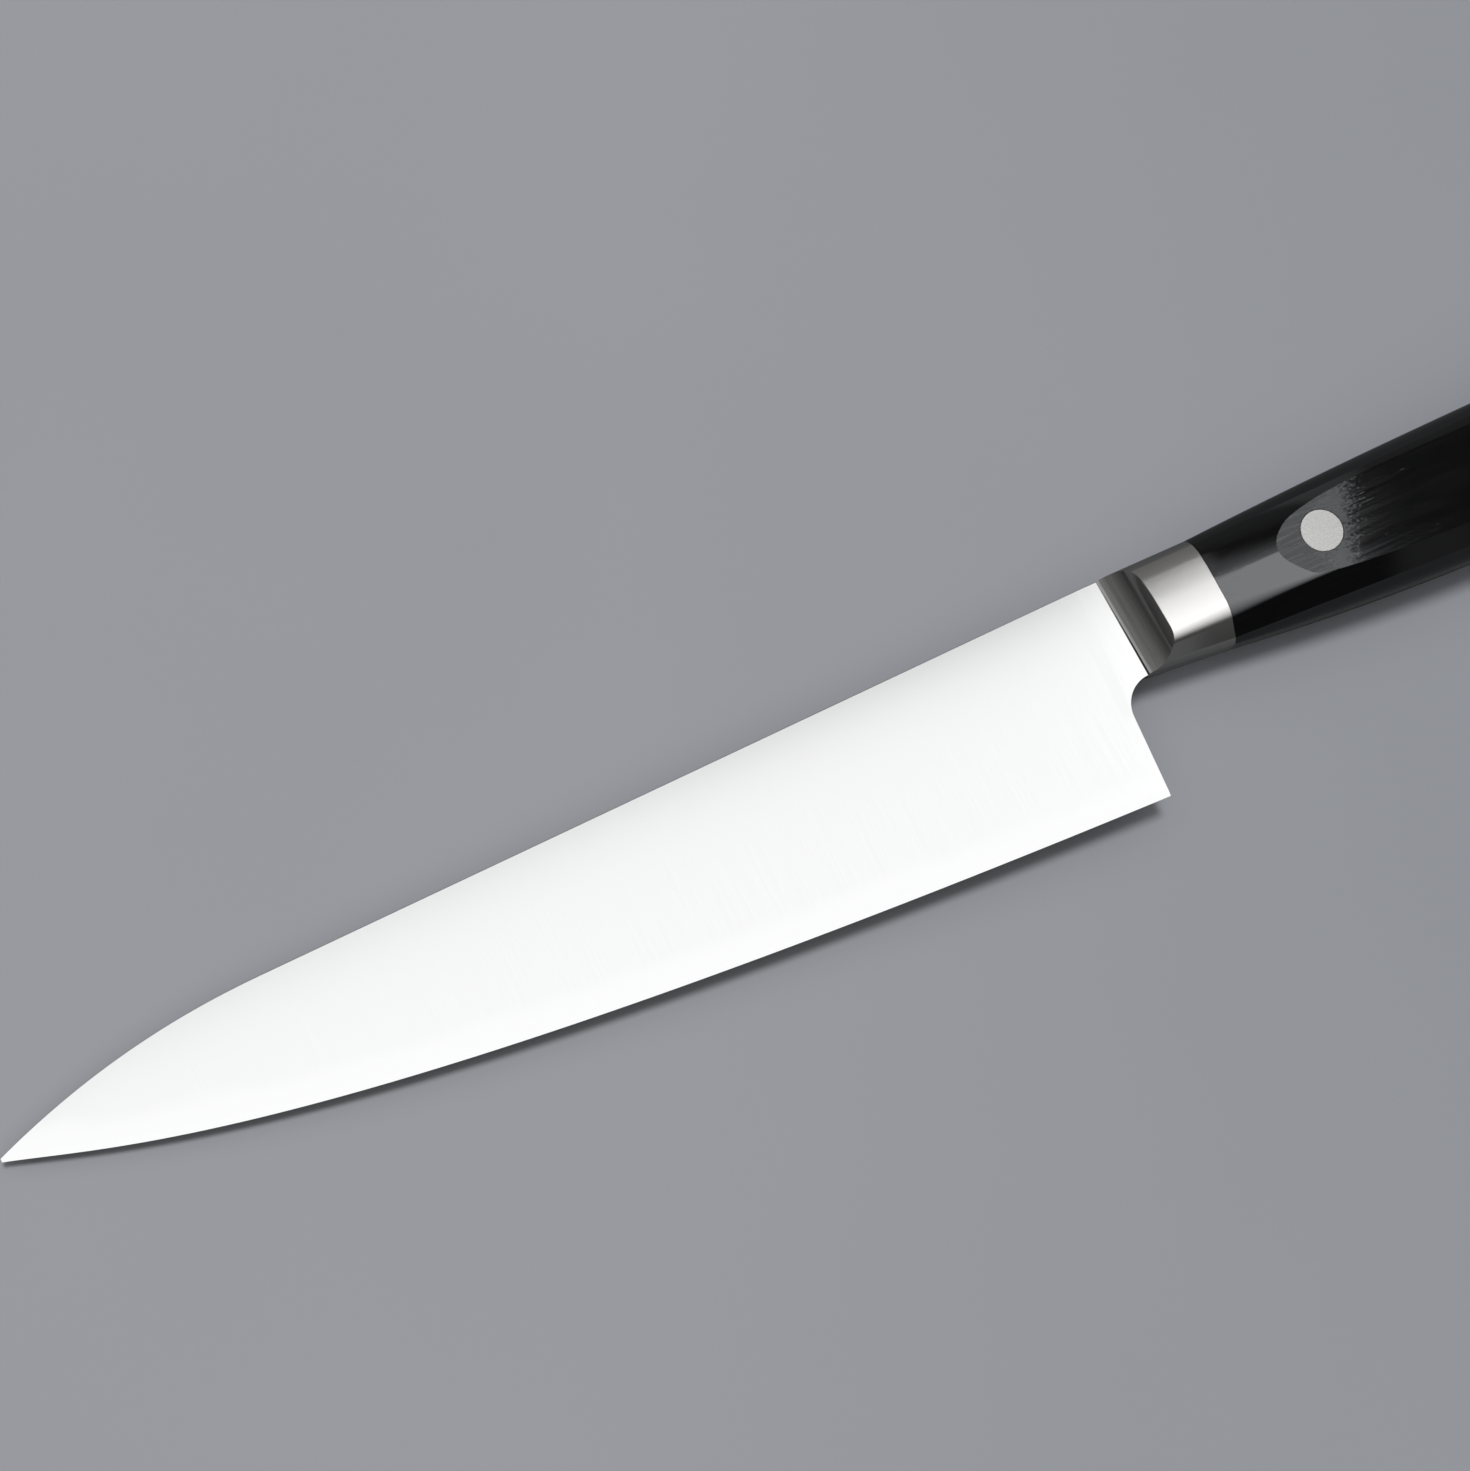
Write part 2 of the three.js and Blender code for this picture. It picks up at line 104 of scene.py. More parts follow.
# Handle section. Each tuple is at the bolster's front, at the joint, where the flare ends and at the butt;
# the grip's own thickness comes from the frame and is added to the last two widths.
FLARE_LENGTH = 27.0
SHOULDER_WIDTHS = (9.5, 9.8)
RIDGE_WIDTHS = (10.75, 11.15)
SHOULDER_MARGINS = (0.1, 0.1)
RIDGE_MARGINS = (1.2, 0.1)
CROWNS = (0.35, 0.35, 0.95, 0.1)
CROWN_PLACES = (0.48, 0.48, 0.66, 0.66)
SIDE_RADII = (28.0, 28.0, 12.0, 12.0)
SHOULDER_RADII = (3.8, 3.8, 6.5, 6.5)
RIDGE_RISES = (2.3, 3.6, 4.1, 4.1)
RIDGE_MOST_OF_HEIGHT = 0.33
RIDGE_RADII = (2.4, 3.6, 0.4, 0.4)
KEEL_WIDTHS = (3.5, 3.5, 6.0, 6.0)
KEEL_RADII = (2.5, 2.5, 5.0, 5.0)
ROUNDING_ROOM = 0.99

# Rivets
RIVET_NAMES = ("front", "middle", "rear")
RIVET_HEAD_DEPTH = 3.0
RIVET_EDGE = 0.06
STUD_DIAMETER = 2.5
SLEEVE_WALL = 0.65
RIVET_CLEARANCE = 0.05
RIVET_END_GAP = 0.4

# Camera, fitted to the photograph: its place from the heel, and the ways it looks and holds its right side
PHOTO_WIDTH = 1470
FOCAL_PIXELS = 3400
SENSOR_WIDTH = 36.0
CAMERA_FROM_HEEL = (-146.94, -83.84, 402.45)
VIEW_FORWARD = (0.236682, 0.201322, -0.950500)
VIEW_RIGHT = (0.884913, -0.448574, 0.125340)

# What the frame says
blade_low, blade_high = (np.array(corner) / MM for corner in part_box("blade"))
bolster_low, bolster_high = (np.array(corner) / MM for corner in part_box("bolster_left"))
scale_low, scale_high = (np.array(corner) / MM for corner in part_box("handle_scale_left"))
middle_z = (blade_low[2] + blade_high[2]) / 2
heel_origin = np.array((blade_low[0] + BLADE_LENGTH, blade_low[1] + HEEL_HEIGHT, middle_z))

plate_half = blade_high[2] - middle_z
cheek_z = bolster_low[2] - middle_z
grip_half = scale_high[2] - middle_z
joint_x = bolster_high[0] - heel_origin[0]
scale_x = scale_low[0] - heel_origin[0]
butt_x = blade_high[0] - heel_origin[0]
neck_x = joint_x - BOLSTER_LENGTH
flare_x = joint_x + FLARE_LENGTH
tang_x = neck_x + LIP_LENGTH
round_x = butt_x - BUTT_TOP_RADIUS


def in_frame(points):
    return (np.asarray(points, float).reshape(-1, 3) + heel_origin) * MM


def lerp(a, b, s):
    return a + (b - a) * s


def share(x, start, end):
    return min(max((x - start) / (end - start), 0.0), 1.0)


def ease_out(s):
    return 1 - (1 - s) ** 2


def corner_inset(x, end_x, radius):
    """How far a round corner that ends at end_x has drawn in at x."""
    past = min(max(x - (end_x - radius), 0.0), radius)
    return radius - math.sqrt(radius**2 - past**2)


# Outlines

def spine_y(x):
    slope = math.tan(SPINE_SLOPE)
    sweep = share(x, SPINE_SWEEP_LENGTH - BLADE_LENGTH, -BLADE_LENGTH) ** SPINE_SWEEP_POWER
    return min(x, 0) * slope - (TIP_DROP - TIP_HEIGHT - BLADE_LENGTH * slope) * sweep


def edge_point(s):
    """A point of the cutting edge, from the tip at 0 to the heel at 1."""
    tip = np.array((-BLADE_LENGTH, -TIP_DROP))
    heel = np.array((0.0, -HEEL_HEIGHT))
    tip_way = np.array((math.cos(EDGE_TIP_ANGLE), -math.sin(EDGE_TIP_ANGLE)))
    heel_way = np.array((-math.cos(EDGE_HEEL_ANGLE), math.sin(EDGE_HEEL_ANGLE)))
    after_tip = tip + EDGE_TIP_PULL * BLADE_LENGTH * tip_way
    before_heel = heel + EDGE_HEEL_PULL * BLADE_LENGTH * heel_way
    r = 1 - s
    return r**3 * tip + 3 * r**2 * s * after_tip + 3 * r * s**2 * before_heel + s**3 * heel


EDGE_SAMPLES = 600
EDGE_LINE = np.array([edge_point(s) for s in np.linspace(0, 1, EDGE_SAMPLES)])


def edge_y(x):
    if x > 0:
        return -HEEL_HEIGHT - x * math.tan(EDGE_HEEL_ANGLE)
    return float(np.interp(x, EDGE_LINE[:, 0], EDGE_LINE[:, 1]))


def bevel_height(x):
    return BEVEL_HEIGHT * math.tanh(BEVEL_MOST_OF_HEIGHT * (spine_y(x) - edge_y(x)) / BEVEL_HEIGHT)


def blade_half(x, y):
    """Half the blade's thickness: a wedge with slightly swollen faces, and the bevel below."""
    low = edge_y(x)
    bevel = bevel_height(x)
    spine_half = lerp(TIP_THICKNESS / 2, plate_half, share(x, -BLADE_LENGTH, 0) ** TAPER_POWER)
    bevel_half = BEVEL_THICKNESS / 2 * bevel / BEVEL_HEIGHT
    if y < low + bevel:
        return bevel_half * max(y - low, 0) / bevel
    up = share(y, low + bevel, spine_y(x))
    return lerp(bevel_half, spine_half, up * (1 + GRIND_SWELL * (1 - up)))


def back_y(x):
    crest_x = joint_x + CREST_SETBACK
    front = JOINT_BACK * share(x, neck_x, joint_x)
    rise = (CREST_BACK - JOINT_BACK) * ease_out(share(x, joint_x, crest_x))
    fall = (CREST_BACK - BUTT_BACK) * share(x, crest_x, butt_x) ** 2
    return front + rise - fall - corner_inset(x, butt_x, BUTT_TOP_RADIUS)


def belly_y(x):
    swell_x = joint_x + SWELL_SETBACK
    front = lerp(FRONT_BELLY, JOINT_BELLY, share(x, neck_x, joint_x))
    swell = (SWELL_BELLY - JOINT_BELLY) * ease_out(share(x, joint_x, swell_x))
    past = share(x, swell_x, butt_x)
    flare = (BUTT_BELLY - SWELL_BELLY + WAIST_DRAW) * past**3 - WAIST_DRAW * past**2
    return corner_inset(x, butt_x, BUTT_BOTTOM_RADIUS) - front - swell - flare


# Section of bolster and handle

def section_size(x, sizes):
    front, joint, flare, butt = sizes
    if x < joint_x:
        return lerp(front, joint, share(x, neck_x, joint_x))
    if x < flare_x:
        return lerp(joint, flare, ease_out(share(x, joint_x, flare_x)))
    return lerp(flare, butt, share(x, flare_x, butt_x))


def with_grip(widths, margins):
    return (*widths, *(2 * grip_half + margin for margin in margins))


SHOULDERS = with_grip(SHOULDER_WIDTHS, SHOULDER_MARGINS)
RIDGES = with_grip(RIDGE_WIDTHS, RIDGE_MARGINS)


def section_corners(x):
    """The left half's corners, from the shoulder to the keel, as (y, z) points, and their radii."""
    back = back_y(x)
    belly = belly_y(x)
    ridge_y = belly + min(section_size(x, RIDGE_RISES), RIDGE_MOST_OF_HEIGHT * (back - belly))
    inset = corner_inset(x, butt_x, BUTT_EDGE_RADIUS)
    shoulder_z = section_size(x, SHOULDERS) / 2 - inset
    ridge_z = section_size(x, RIDGES) / 2 - inset
    place = section_size(x, CROWN_PLACES)
    crown_z = lerp(shoulder_z, ridge_z, place) + section_size(x, CROWNS)
    keel_z = section_size(x, KEEL_WIDTHS) / 2
    points = [(back, shoulder_z), (lerp(back, ridge_y, place), crown_z), (ridge_y, ridge_z), (belly, keel_z)]
    radii = [section_size(x, sizes) for sizes in (SHOULDER_RADII, SIDE_RADII, RIDGE_RADII, KEEL_RADII)]
    return np.array(points), radii


ARC_STEPS = 24
LINE_STEPS = 12
FINE_PLACES = 160
SHOULDER_END, RIDGE_END = 2, 6
_sections = {}


def section(x):
    """The left half's outline as rows of (place, y, z).

    Place counts the lines and arcs passed, from the top.
    """
    key = round(x, 6)
    if key in _sections:
        return _sections[key]
    points, radii = section_corners(x)
    mirror = np.array((1, -1))
    ring = np.vstack([points[0] * mirror, points, points[-1] * mirror])
    ways = np.diff(ring, axis=0)
    lengths = np.linalg.norm(ways, axis=1)
    ways = ways / lengths[:, None]
    turns = [math.acos(np.clip(ways[i] @ ways[i + 1], -1, 1)) for i in range(len(points))]
    reaches = [radius * math.tan(turn / 2) for radius, turn in zip(radii, turns)]
    reaches = [reaches[0], *reaches, reaches[-1]]
    zones = []
    last = np.array((points[0][0], 0.0))
    for i, corner in enumerate(points):
        room_before = lengths[i] / (reaches[i] + reaches[i + 1])
        room_after = lengths[i + 1] / (reaches[i + 1] + reaches[i + 2])
        radius = radii[i] * min(1, ROUNDING_ROOM * min(room_before, room_after))
        start = corner - ways[i] * radius * math.tan(turns[i] / 2)
        inward = np.array((-ways[i][1], ways[i][0]))
        centre = start + inward * radius
        angle = math.atan2(-inward[1], -inward[0])
        angles = angle + np.linspace(0, turns[i], ARC_STEPS + 1)
        arc = centre + radius * np.column_stack([np.cos(angles), np.sin(angles)])
        zones += [np.linspace(last, arc[0], LINE_STEPS + 1), arc]
        last = arc[-1]
    zones.append(np.linspace(last, (points[-1][0], 0.0), LINE_STEPS + 1))
    rows = [np.column_stack([[0.0], zones[0][:1]])]
    for i, zone in enumerate(zones):
        places = i + np.arange(1, len(zone)) / (len(zone) - 1)
        rows.append(np.column_stack([places, zone[1:]]))
    _sections[key] = np.vstack(rows)
    return _sections[key]


def outline_point(x, place):
    rows = section(x)
    return np.interp(place, rows[:, 0], rows[:, 1]), np.interp(place, rows[:, 0], rows[:, 2])


def widest(x):
    """The row of the outline where it is widest."""
    return int(np.argmax(section(x)[:, 2]))


def place_at(x, z, upper):
    """Where the outline crosses a height z, above or below its widest point."""
    rows = section(x)
    top = widest(x)
    if upper:
        return float(np.interp(z, rows[: top + 1, 2], rows[: top + 1, 0]))
    return float(np.interp(z, rows[top:, 2][::-1], rows[top:, 0][::-1]))


def even_places(x, start, end, count):
    """Places that divide a stretch of the outline into equal lengths."""
    fine = np.linspace(start, end, FINE_PLACES)
    points = np.column_stack(outline_point(x, fine))
    travelled = np.concatenate([[0], np.cumsum(np.linalg.norm(np.diff(points, axis=0), axis=1))])
    return np.interp(np.linspace(0, travelled[-1], count + 1), travelled, fine)


# Meshes

def knife_piece(name, mesh, node, material):
    """Makes an object of a finished mesh that stands for a CAD node."""
    piece = bpy.data.objects.new(name, mesh)
    bpy.context.scene.collection.objects.link(piece)
    mesh.materials.append(material)
    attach(piece, "root")
    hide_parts(node)
    return piece


class Builder:
    """Collects points, faces and marked edges of a mesh, all in the knife's own axes."""

    def __init__(self):
        self.points = []
        self.faces = []
        self.sharp = []
        self.rounded = []

    def add(self, x, y, z):
        self.points.append((x, y, z))
        return len(self.points) - 1

    def line(self, points):
        return [self.add(*point) for point in points]

    def strip(self, first, second):
        """Quads between two lines of as many points."""
        for i in range(len(first) - 1):
            self.faces.append((first[i], first[i + 1], second[i + 1], second[i]))

    def mark(self, line, marked):
        marked += [frozenset(pair) for pair in zip(line[:-1], line[1:])]

    def bmesh(self, mirrored=False):
        bm = bmesh.new()
        flip = np.array((1, 1, -1 if mirrored else 1))
        verts = [bm.verts.new(p) for p in in_frame(np.array(self.points) * flip)]
        for face in self.faces:
            bm.faces.new([verts[i] for i in face])
        bm.verts.index_update()
        weights = bm.edges.layers.float.new("bevel_weight_edge")
        sharp = set(self.sharp)
        rounded = set(self.rounded)
        for edge in bm.edges:
            pair = frozenset(v.index for v in edge.verts)
            edge.smooth = pair not in sharp
            edge[weights] = 1.0 if pair in rounded else 0.0
        return bm


SHARP_ANGLE = math.radians(28)


def finished_mesh(bm, name):
    """Turns the faces outwards, shades them smooth between the sharp edges and makes the mesh."""
    bmesh.ops.recalc_face_normals(bm, faces=bm.faces[:])
    for face in bm.faces:
        face.smooth = True
    for edge in bm.edges:
        if edge.is_manifold and edge.calc_face_angle() > SHARP_ANGLE:
            edge.smooth = False
    mesh = bpy.data.meshes.new(name)
    bm.to_mesh(mesh)
    bm.free()
    return mesh


def round_marked_edges(piece, width, segments):
    bevel = piece.modifiers.new("rounding", "BEVEL")
    bevel.limit_method = "WEIGHT"
    bevel.width = width * MM
    bevel.segments = segments
    bevel.miter_outer = "MITER_ARC"
    bevel.harden_normals = True


# Blade

BLADE_COLUMNS = 230
NECK_COLUMNS = 40
TANG_STEP = 1.5
LOW_ROWS = 16
HIGH_ROWS = 24
ROUND_ROWS = 5
ROUND_MOST_OF_HALF = 0.9
CHOIL_SHARE = 0.9
HEEL_SEGMENTS = 2
SHEAR_LENGTH = 12.0
ABOVE_EDGE = "above_edge"
ACROSS = (0.5, 0.0, -0.5)
BUTT_STEPS = 44


def column_top(x, low_y, rows, round_radius, half_at):
    """Points up a face from low_y to the rounded spine corner, as (y, z) pairs."""
    top = spine_y(x) if x < tang_x else back_y(x)
    radius = min(round_radius, ROUND_MOST_OF_HALF * half_at(x, top))
    pairs = [(y, half_at(x, y)) for y in np.linspace(low_y, top - radius, rows + 1)]
    inner = pairs[-1][1] - radius
    for i in range(1, ROUND_ROWS + 1):
        angle = math.pi / 2 * i / ROUND_ROWS
        pairs.append((top - radius + radius * math.sin(angle), inner + radius * math.cos(angle)))
    return pairs


def choil():
    """The heel's tangent point, the choil's centre and the angles of its arc."""
    centre_y = -FRONT_BELLY - CHOIL_RADIUS
    tangent_y = centre_y + CHOIL_RADIUS * math.sin(HEEL_LEAN)
    tangent_x = (tangent_y + HEEL_HEIGHT) * math.tan(HEEL_LEAN)
    centre_x = tangent_x + CHOIL_RADIUS * math.cos(HEEL_LEAN)
    return (tangent_x, tangent_y), (centre_x, centre_y), (math.pi - HEEL_LEAN, math.pi / 2)


def blade_columns():
    """Columns of the left face in front of the heel's back edge, each from the edge up to the spine."""
    (_, tangent_y), _, _ = choil()
    low_share = (tangent_y + HEEL_HEIGHT) / HEEL_HEIGHT
    columns = []
    for i in range(BLADE_COLUMNS + 1):
        s = i / BLADE_COLUMNS
        x, y = edge_point(s)
        shear = math.tan(HEEL_LEAN) * max(0.0, 1 + x / SHEAR_LENGTH) ** 2
        bevel_y = y + bevel_height(x)
        low_y = lerp(y, spine_y(x), low_share)
        low = [(row_y, blade_half(x, row_y)) for row_y in np.linspace(bevel_y, low_y, LOW_ROWS + 1)[:-1]]
        pairs = [(y, 0.0)] + low + column_top(x, low_y, HIGH_ROWS, SPINE_ROUND, blade_half)
        columns.append([(x + shear * (row_y - y), row_y, z) for row_y, z in pairs])
    return columns


def neck_columns(first):
    """Columns over the choil, from the heel's back edge, whose column is first, to the bolster."""
    _, (centre_x, centre_y), (start, end) = choil()
    columns = []
    for i in range(1, NECK_COLUMNS + 1):
        s = i / NECK_COLUMNS
        angle = lerp(start, end, min(1.0, s / CHOIL_SHARE))
        low_x = centre_x + CHOIL_RADIUS * math.cos(angle)
        low_y = centre_y + CHOIL_RADIUS * math.sin(angle)
        if s > CHOIL_SHARE:
            low_x = lerp(low_x, tang_x, (s - CHOIL_SHARE) / (1 - CHOIL_SHARE))
        top_x = lerp(first[-1][0], tang_x, s)
        pairs = column_top(min(top_x, tang_x - MM), low_y, HIGH_ROWS, SPINE_ROUND, blade_half)
        top_y = pairs[-1][0]
        columns.append([(lerp(low_x, top_x, (y - low_y) / (top_y - low_y)), y, z) for y, z in pairs])
    return columns


def butt_stations():
    """Stations that crowd towards the butt's end, as its round corner does."""
    angles = [math.pi / 2 * i / BUTT_STEPS for i in range(BUTT_STEPS + 1)]
    return [round_x + BUTT_TOP_RADIUS * math.sin(angle) for angle in angles]


def tang_stations():
    count = math.ceil((round_x - tang_x) / TANG_STEP)
    straight = [lerp(tang_x, round_x, i / count) for i in range(1, count)]
    return [tang_x + LIP_LENGTH] + straight + butt_stations()


def tang_column(x, rows):
    """Points up the tang's left face, with rows steps on its flat part."""
    low_y, _ = outline_point(x, place_at(x, plate_half, False))
    top_y, _ = outline_point(x, place_at(x, plate_half, True))
    pairs = [(y, plate_half) for y in np.linspace(low_y, top_y - TANG_ROUND, rows + 1)]
    for i in range(1, ROUND_ROWS + 1):
        angle = math.pi / 2 * i / ROUND_ROWS
        y = top_y - TANG_ROUND * (1 - math.sin(angle))
        pairs.append((y, plate_half - TANG_ROUND * (1 - math.cos(angle))))
    return [(x, y, z) for y, z in pairs]


def crossing(point, upper, on_tang):
    """Points from the left edge of a rim to the right one; on the tang they follow the body's outline."""
    x, y, z = point
    points = []
    for part in ACROSS:
        row_y = outline_point(x, place_at(x, abs(part) * z, upper))[0] if on_tang else y
        points.append((x, row_y, part * z))
    return points


def fill_tang(bm):
    """Fills the tang's two faces round the rivet holes."""
    faces = [open_edges(bm, (middle_z + side * plate_half) * MM) for side in (1, -1)]
    for _, x, y, _ in rivet_places():
        rings = [hole_ring(bm, x, y, side * plate_half, shank_hole_radius, False) for side in (1, -1)]
        join_rings(bm, rings)
        for edges, (_, ring_edges) in zip(faces, rings):
            edges += ring_edges
    for edges, side in zip(faces, (1, -1)):
        fill(bm, edges, side)


def build_blade(material):
    """The plate in columns; the tang's flat faces stay open until they are filled round the rivet holes."""
    made = Builder()
    front = blade_columns()
    back = neck_columns(front[-1])
    stations = tang_stations()
    tang = [tang_column(stations[0], HIGH_ROWS)] + [tang_column(x, 1) for x in stations[1:]]
    rest = back + tang
    low_row = LOW_ROWS + 1
    left_front = [made.line(column) for column in front]
    right_front = [[l[0]] + made.line([(x, y, -z) for x, y, z in c[1:]]) for l, c in zip(left_front, front)]
    left_rest = [made.line(column) for column in rest]
    right_rest = [made.line([(x, y, -z) for x, y, z in column]) for column in rest]
    for side_front, side_rest in ((left_front, left_rest), (right_front, right_rest)):
        for first, second in zip(side_front[:-1], side_front[1:]):
            made.strip(first, second)
        behind = [side_front[-1][low_row:]] + side_rest
        for first, second in zip(behind[: len(back) + 1], behind[1 : len(back) + 2]):
            made.strip(first, second)
        rounding = [column[-1 - ROUND_ROWS :] for column in side_rest[len(back) :]]
        for first, second in zip(rounding[:-1], rounding[1:]):
            made.strip(first, second)
        made.mark([column[1] for column in side_front], made.sharp)
        made.mark([column[-1 - ROUND_ROWS] for column in side_front + side_rest], made.sharp)
        made.mark(side_front[-1][1 : low_row + 1], made.rounded)
        made.mark([column[0] for column in behind[: NECK_COLUMNS + 1]], made.rounded)
    made.mark([column[0] for column in left_front], made.sharp)

    is_tang = [False] * (len(front) + len(back)) + [True] * len(tang)
    tops = [column[-1] for column in front + rest]
    top_left = [column[-1] for column in left_front + left_rest]
    top_right = [column[-1] for column in right_front + right_rest]
    top_lines = [
        [left, *made.line(crossing(point, True, on_tang)), right]
        for left, right, point, on_tang in zip(top_left, top_right, tops, is_tang)
    ]
    for first, second in zip(top_lines[:-1], top_lines[1:]):
        made.strip(first, second)
    lows = [front[-1][low_row]] + [column[0] for column in rest]
    low_left = [left_front[-1][low_row]] + [column[0] for column in left_rest]
    low_right = [right_front[-1][low_row]] + [column[0] for column in right_rest]
    low_lines = [
        [left, *made.line(crossing(point, False, on_tang)), right]
        for left, right, point, on_tang in zip(low_left, low_right, lows, is_tang[len(front) - 1 :])
    ]
    for first, second in zip(low_lines[:-1], low_lines[1:]):
        made.strip(first, second)
    made.faces.append(left_front[0] + top_lines[0][1:-1] + right_front[0][:0:-1])
    made.faces.append(left_front[-1][:low_row] + low_lines[0] + right_front[-1][low_row - 1 : 0 : -1])
    made.faces.append(left_rest[-1] + top_lines[-1][1:-1] + right_rest[-1][::-1] + low_lines[-1][-2:0:-1])

    bm = made.bmesh()
    fill_tang(bm)
    mesh = finished_mesh(bm, "knife_blade")
    points = [np.array(vertex.co) / MM - heel_origin for vertex in mesh.vertices]
    above_edge = mesh.attributes.new(ABOVE_EDGE, "FLOAT", "POINT")
    above_edge.data.foreach_set("value", [y - edge_y(x) for x, y, _ in points])
    piece = knife_piece("knife_blade", mesh, "blade", material)
    round_marked_edges(piece, HEEL_ROUND, HEEL_SEGMENTS)


# Bolster

SCOOP_ACROSS = 20
UPPER_LEVELS = 34
LOWER_LEVELS = 40
LEVEL_GAP = 0.004
CHEEK_STATIONS = 14
CHEEK_CROWDING = 1.3
RIM_TRIES = 12
APEX_TRIES = 30
SCOOP_RIM_SEGMENTS = 3
IN_SCOOP = "in_scoop"

lip_z = cheek_z + LIP_THICKNESS
scoop_centre_xi = LIP_LENGTH - SCOOP_RADIUS * math.sin(SCOOP_START)
scoop_centre_z = lip_z + SCOOP_RADIUS * math.cos(SCOOP_START)


def scoop_xi(z):
    """How far back from the leaning front face the scoop has got at a height z."""
    return scoop_centre_xi + math.sqrt(SCOOP_RADIUS**2 - (z - scoop_centre_z) ** 2)


def from_lean(xi, eta):
    """A point given along and across the leaning front face, as x and y."""
    x = neck_x + xi * math.cos(BOLSTER_LEAN) - eta * math.sin(BOLSTER_LEAN)
    return x, -FRONT_BELLY + xi * math.sin(BOLSTER_LEAN) + eta * math.cos(BOLSTER_LEAN)


def rim_point(xi, z, upper):
    """Where the scoop's line at (xi, z) leaves the cheek, above or below its widest point."""
    y = 0.0 if upper else -FRONT_BELLY
    for _ in range(RIM_TRIES):
        eta = (y + FRONT_BELLY - xi * math.sin(BOLSTER_LEAN)) / math.cos(BOLSTER_LEAN)
        x, _ = from_lean(xi, eta)
        place = place_at(x, z, upper)
        y, _ = outline_point(x, place)
    return {"eta": eta, "x": x, "y": y, "z": z, "place": place}


def scoop_apex():
    """The rim's furthest point, on the cheek's widest line."""
    x = neck_x + SCOOP_RADIUS / 2
    for _ in range(APEX_TRIES):
        row = section(x)[widest(x)]
        eta = (row[1] + FRONT_BELLY) / math.cos(BOLSTER_LEAN)
        x, _ = from_lean(scoop_xi(row[2]), eta)
    return {"x": x, "y": row[1], "z": row[2], "place": row[0]}


def scoop_levels(apex):
    """Heights of the scoop's lines, close enough to follow the rim on both sides of the apex."""
    x = apex["x"]
    upper = even_places(x, place_at(x, lip_z, True), apex["place"], UPPER_LEVELS)
    lower = even_places(x, apex["place"], place_at(x, lip_z, False), LOWER_LEVELS)
    heights = sorted(outline_point(x, np.concatenate([upper, lower]))[1])
    levels = []
    for z in heights:
        clear = not levels or z - levels[-1] > LEVEL_GAP
        if clear and lip_z + LEVEL_GAP < z < apex["z"] - LEVEL_GAP:
            levels.append(z)
    return levels


def cheek_column(made, rim, first, place_of):
    """A line along the cheek's outside from its rim vertex to the joint."""
    line = [first]
    for i in range(1, CHEEK_STATIONS + 1):
        x = lerp(rim["x"], joint_x, (i / CHEEK_STATIONS) ** CHEEK_CROWDING)
        y, z = outline_point(x, place_of(x))
        line.append(made.add(x, y, z))
    return line


def build_bolster(side_name, mirrored, material):
    made = Builder()
    apex = scoop_apex()
    levels = [(0.0, cheek_z), (0.0, lip_z - LIP_SLANT), (LIP_LENGTH, lip_z)]
    levels += [(scoop_xi(z), z) for z in scoop_levels(apex)]
    rims = [(rim_point(xi, z, True), rim_point(xi, z, False)) for xi, z in levels]
    lines = []
    for (xi, z), (upper, lower) in zip(levels, rims):
        etas = np.linspace(upper["eta"], lower["eta"], SCOOP_ACROSS + 1)
        lines.append(made.line([(*from_lean(xi, eta), z) for eta in etas]))
    for first, second in zip(lines[:-1], lines[1:]):
        made.strip(first, second)
    tip = made.add(apex["x"], apex["y"], apex["z"])
    for a, b in zip(lines[-1][:-1], lines[-1][1:]):
        made.faces.append((a, b, tip))
    for line in lines[1:3]:
        made.mark(line, made.sharp)
    scoop_faces = len(made.faces)

    columns = []
    for end, upper in ((0, True), (-1, False)):
        side = 0 if upper else 1
        lip_x = rims[2][side]["x"]
        inner_place = place_at(lip_x, cheek_z, upper)
        inner_rim = {"x": lip_x}
        inner_point = made.add(lip_x, *outline_point(lip_x, inner_place))
        inner = cheek_column(made, inner_rim, inner_point, lambda x: place_at(x, cheek_z, upper))
        lip = cheek_column(made, rims[2][side], lines[2][end], lambda x: place_at(x, lip_z, upper))
        made.faces.append((lines[0][end], lines[1][end], lines[2][end], inner[0]))
        branch = [inner, lip]
        for level in range(3, len(levels)):
            rim = rims[level][side]
            branch.append(cheek_column(made, rim, lines[level][end], lambda x: rim["place"]))
        columns.append(branch)
        made.mark([line[end] for line in lines[2:]] + [tip], made.rounded)
    crest = cheek_column(made, apex, tip, lambda x: apex["place"])
    ring = columns[0] + [crest] + columns[1][::-1]
    for first, second in zip(ring[:-1], ring[1:]):
        made.strip(first, second)
    made.faces.append([column[-1] for column in ring])
    made.faces.append(lines[0] + columns[1][0] + columns[0][0][::-1])

    name = f"bolster_cheek_{side_name}"
    bm = made.bmesh(mirrored)
    in_scoop = bm.faces.layers.float.new(IN_SCOOP)
    for face in bm.faces[:][:scoop_faces]:
        face[in_scoop] = 1.0
    piece = knife_piece(name, finished_mesh(bm, name), f"bolster_{side_name}", material)
    round_marked_edges(piece, SCOOP_RIM_ROUND, SCOOP_RIM_SEGMENTS)


# Handle scales

FLARE_STEP = 0.7
GRIP_STEP = 1.4
TOP_ROWS = 22
SIDE_ROWS = 12
CROWN_ROWS = 12
LOW_SIDE_ROWS = 10
RIDGE_ROWS = 8
FLANK_ROWS = 18
HOLE_STEPS = 96
HALF_STEP = 0.5
CUT_REACH = 1e-9
SAME_HEIGHT = 1e-7
ON_FLAT = "on_flat"


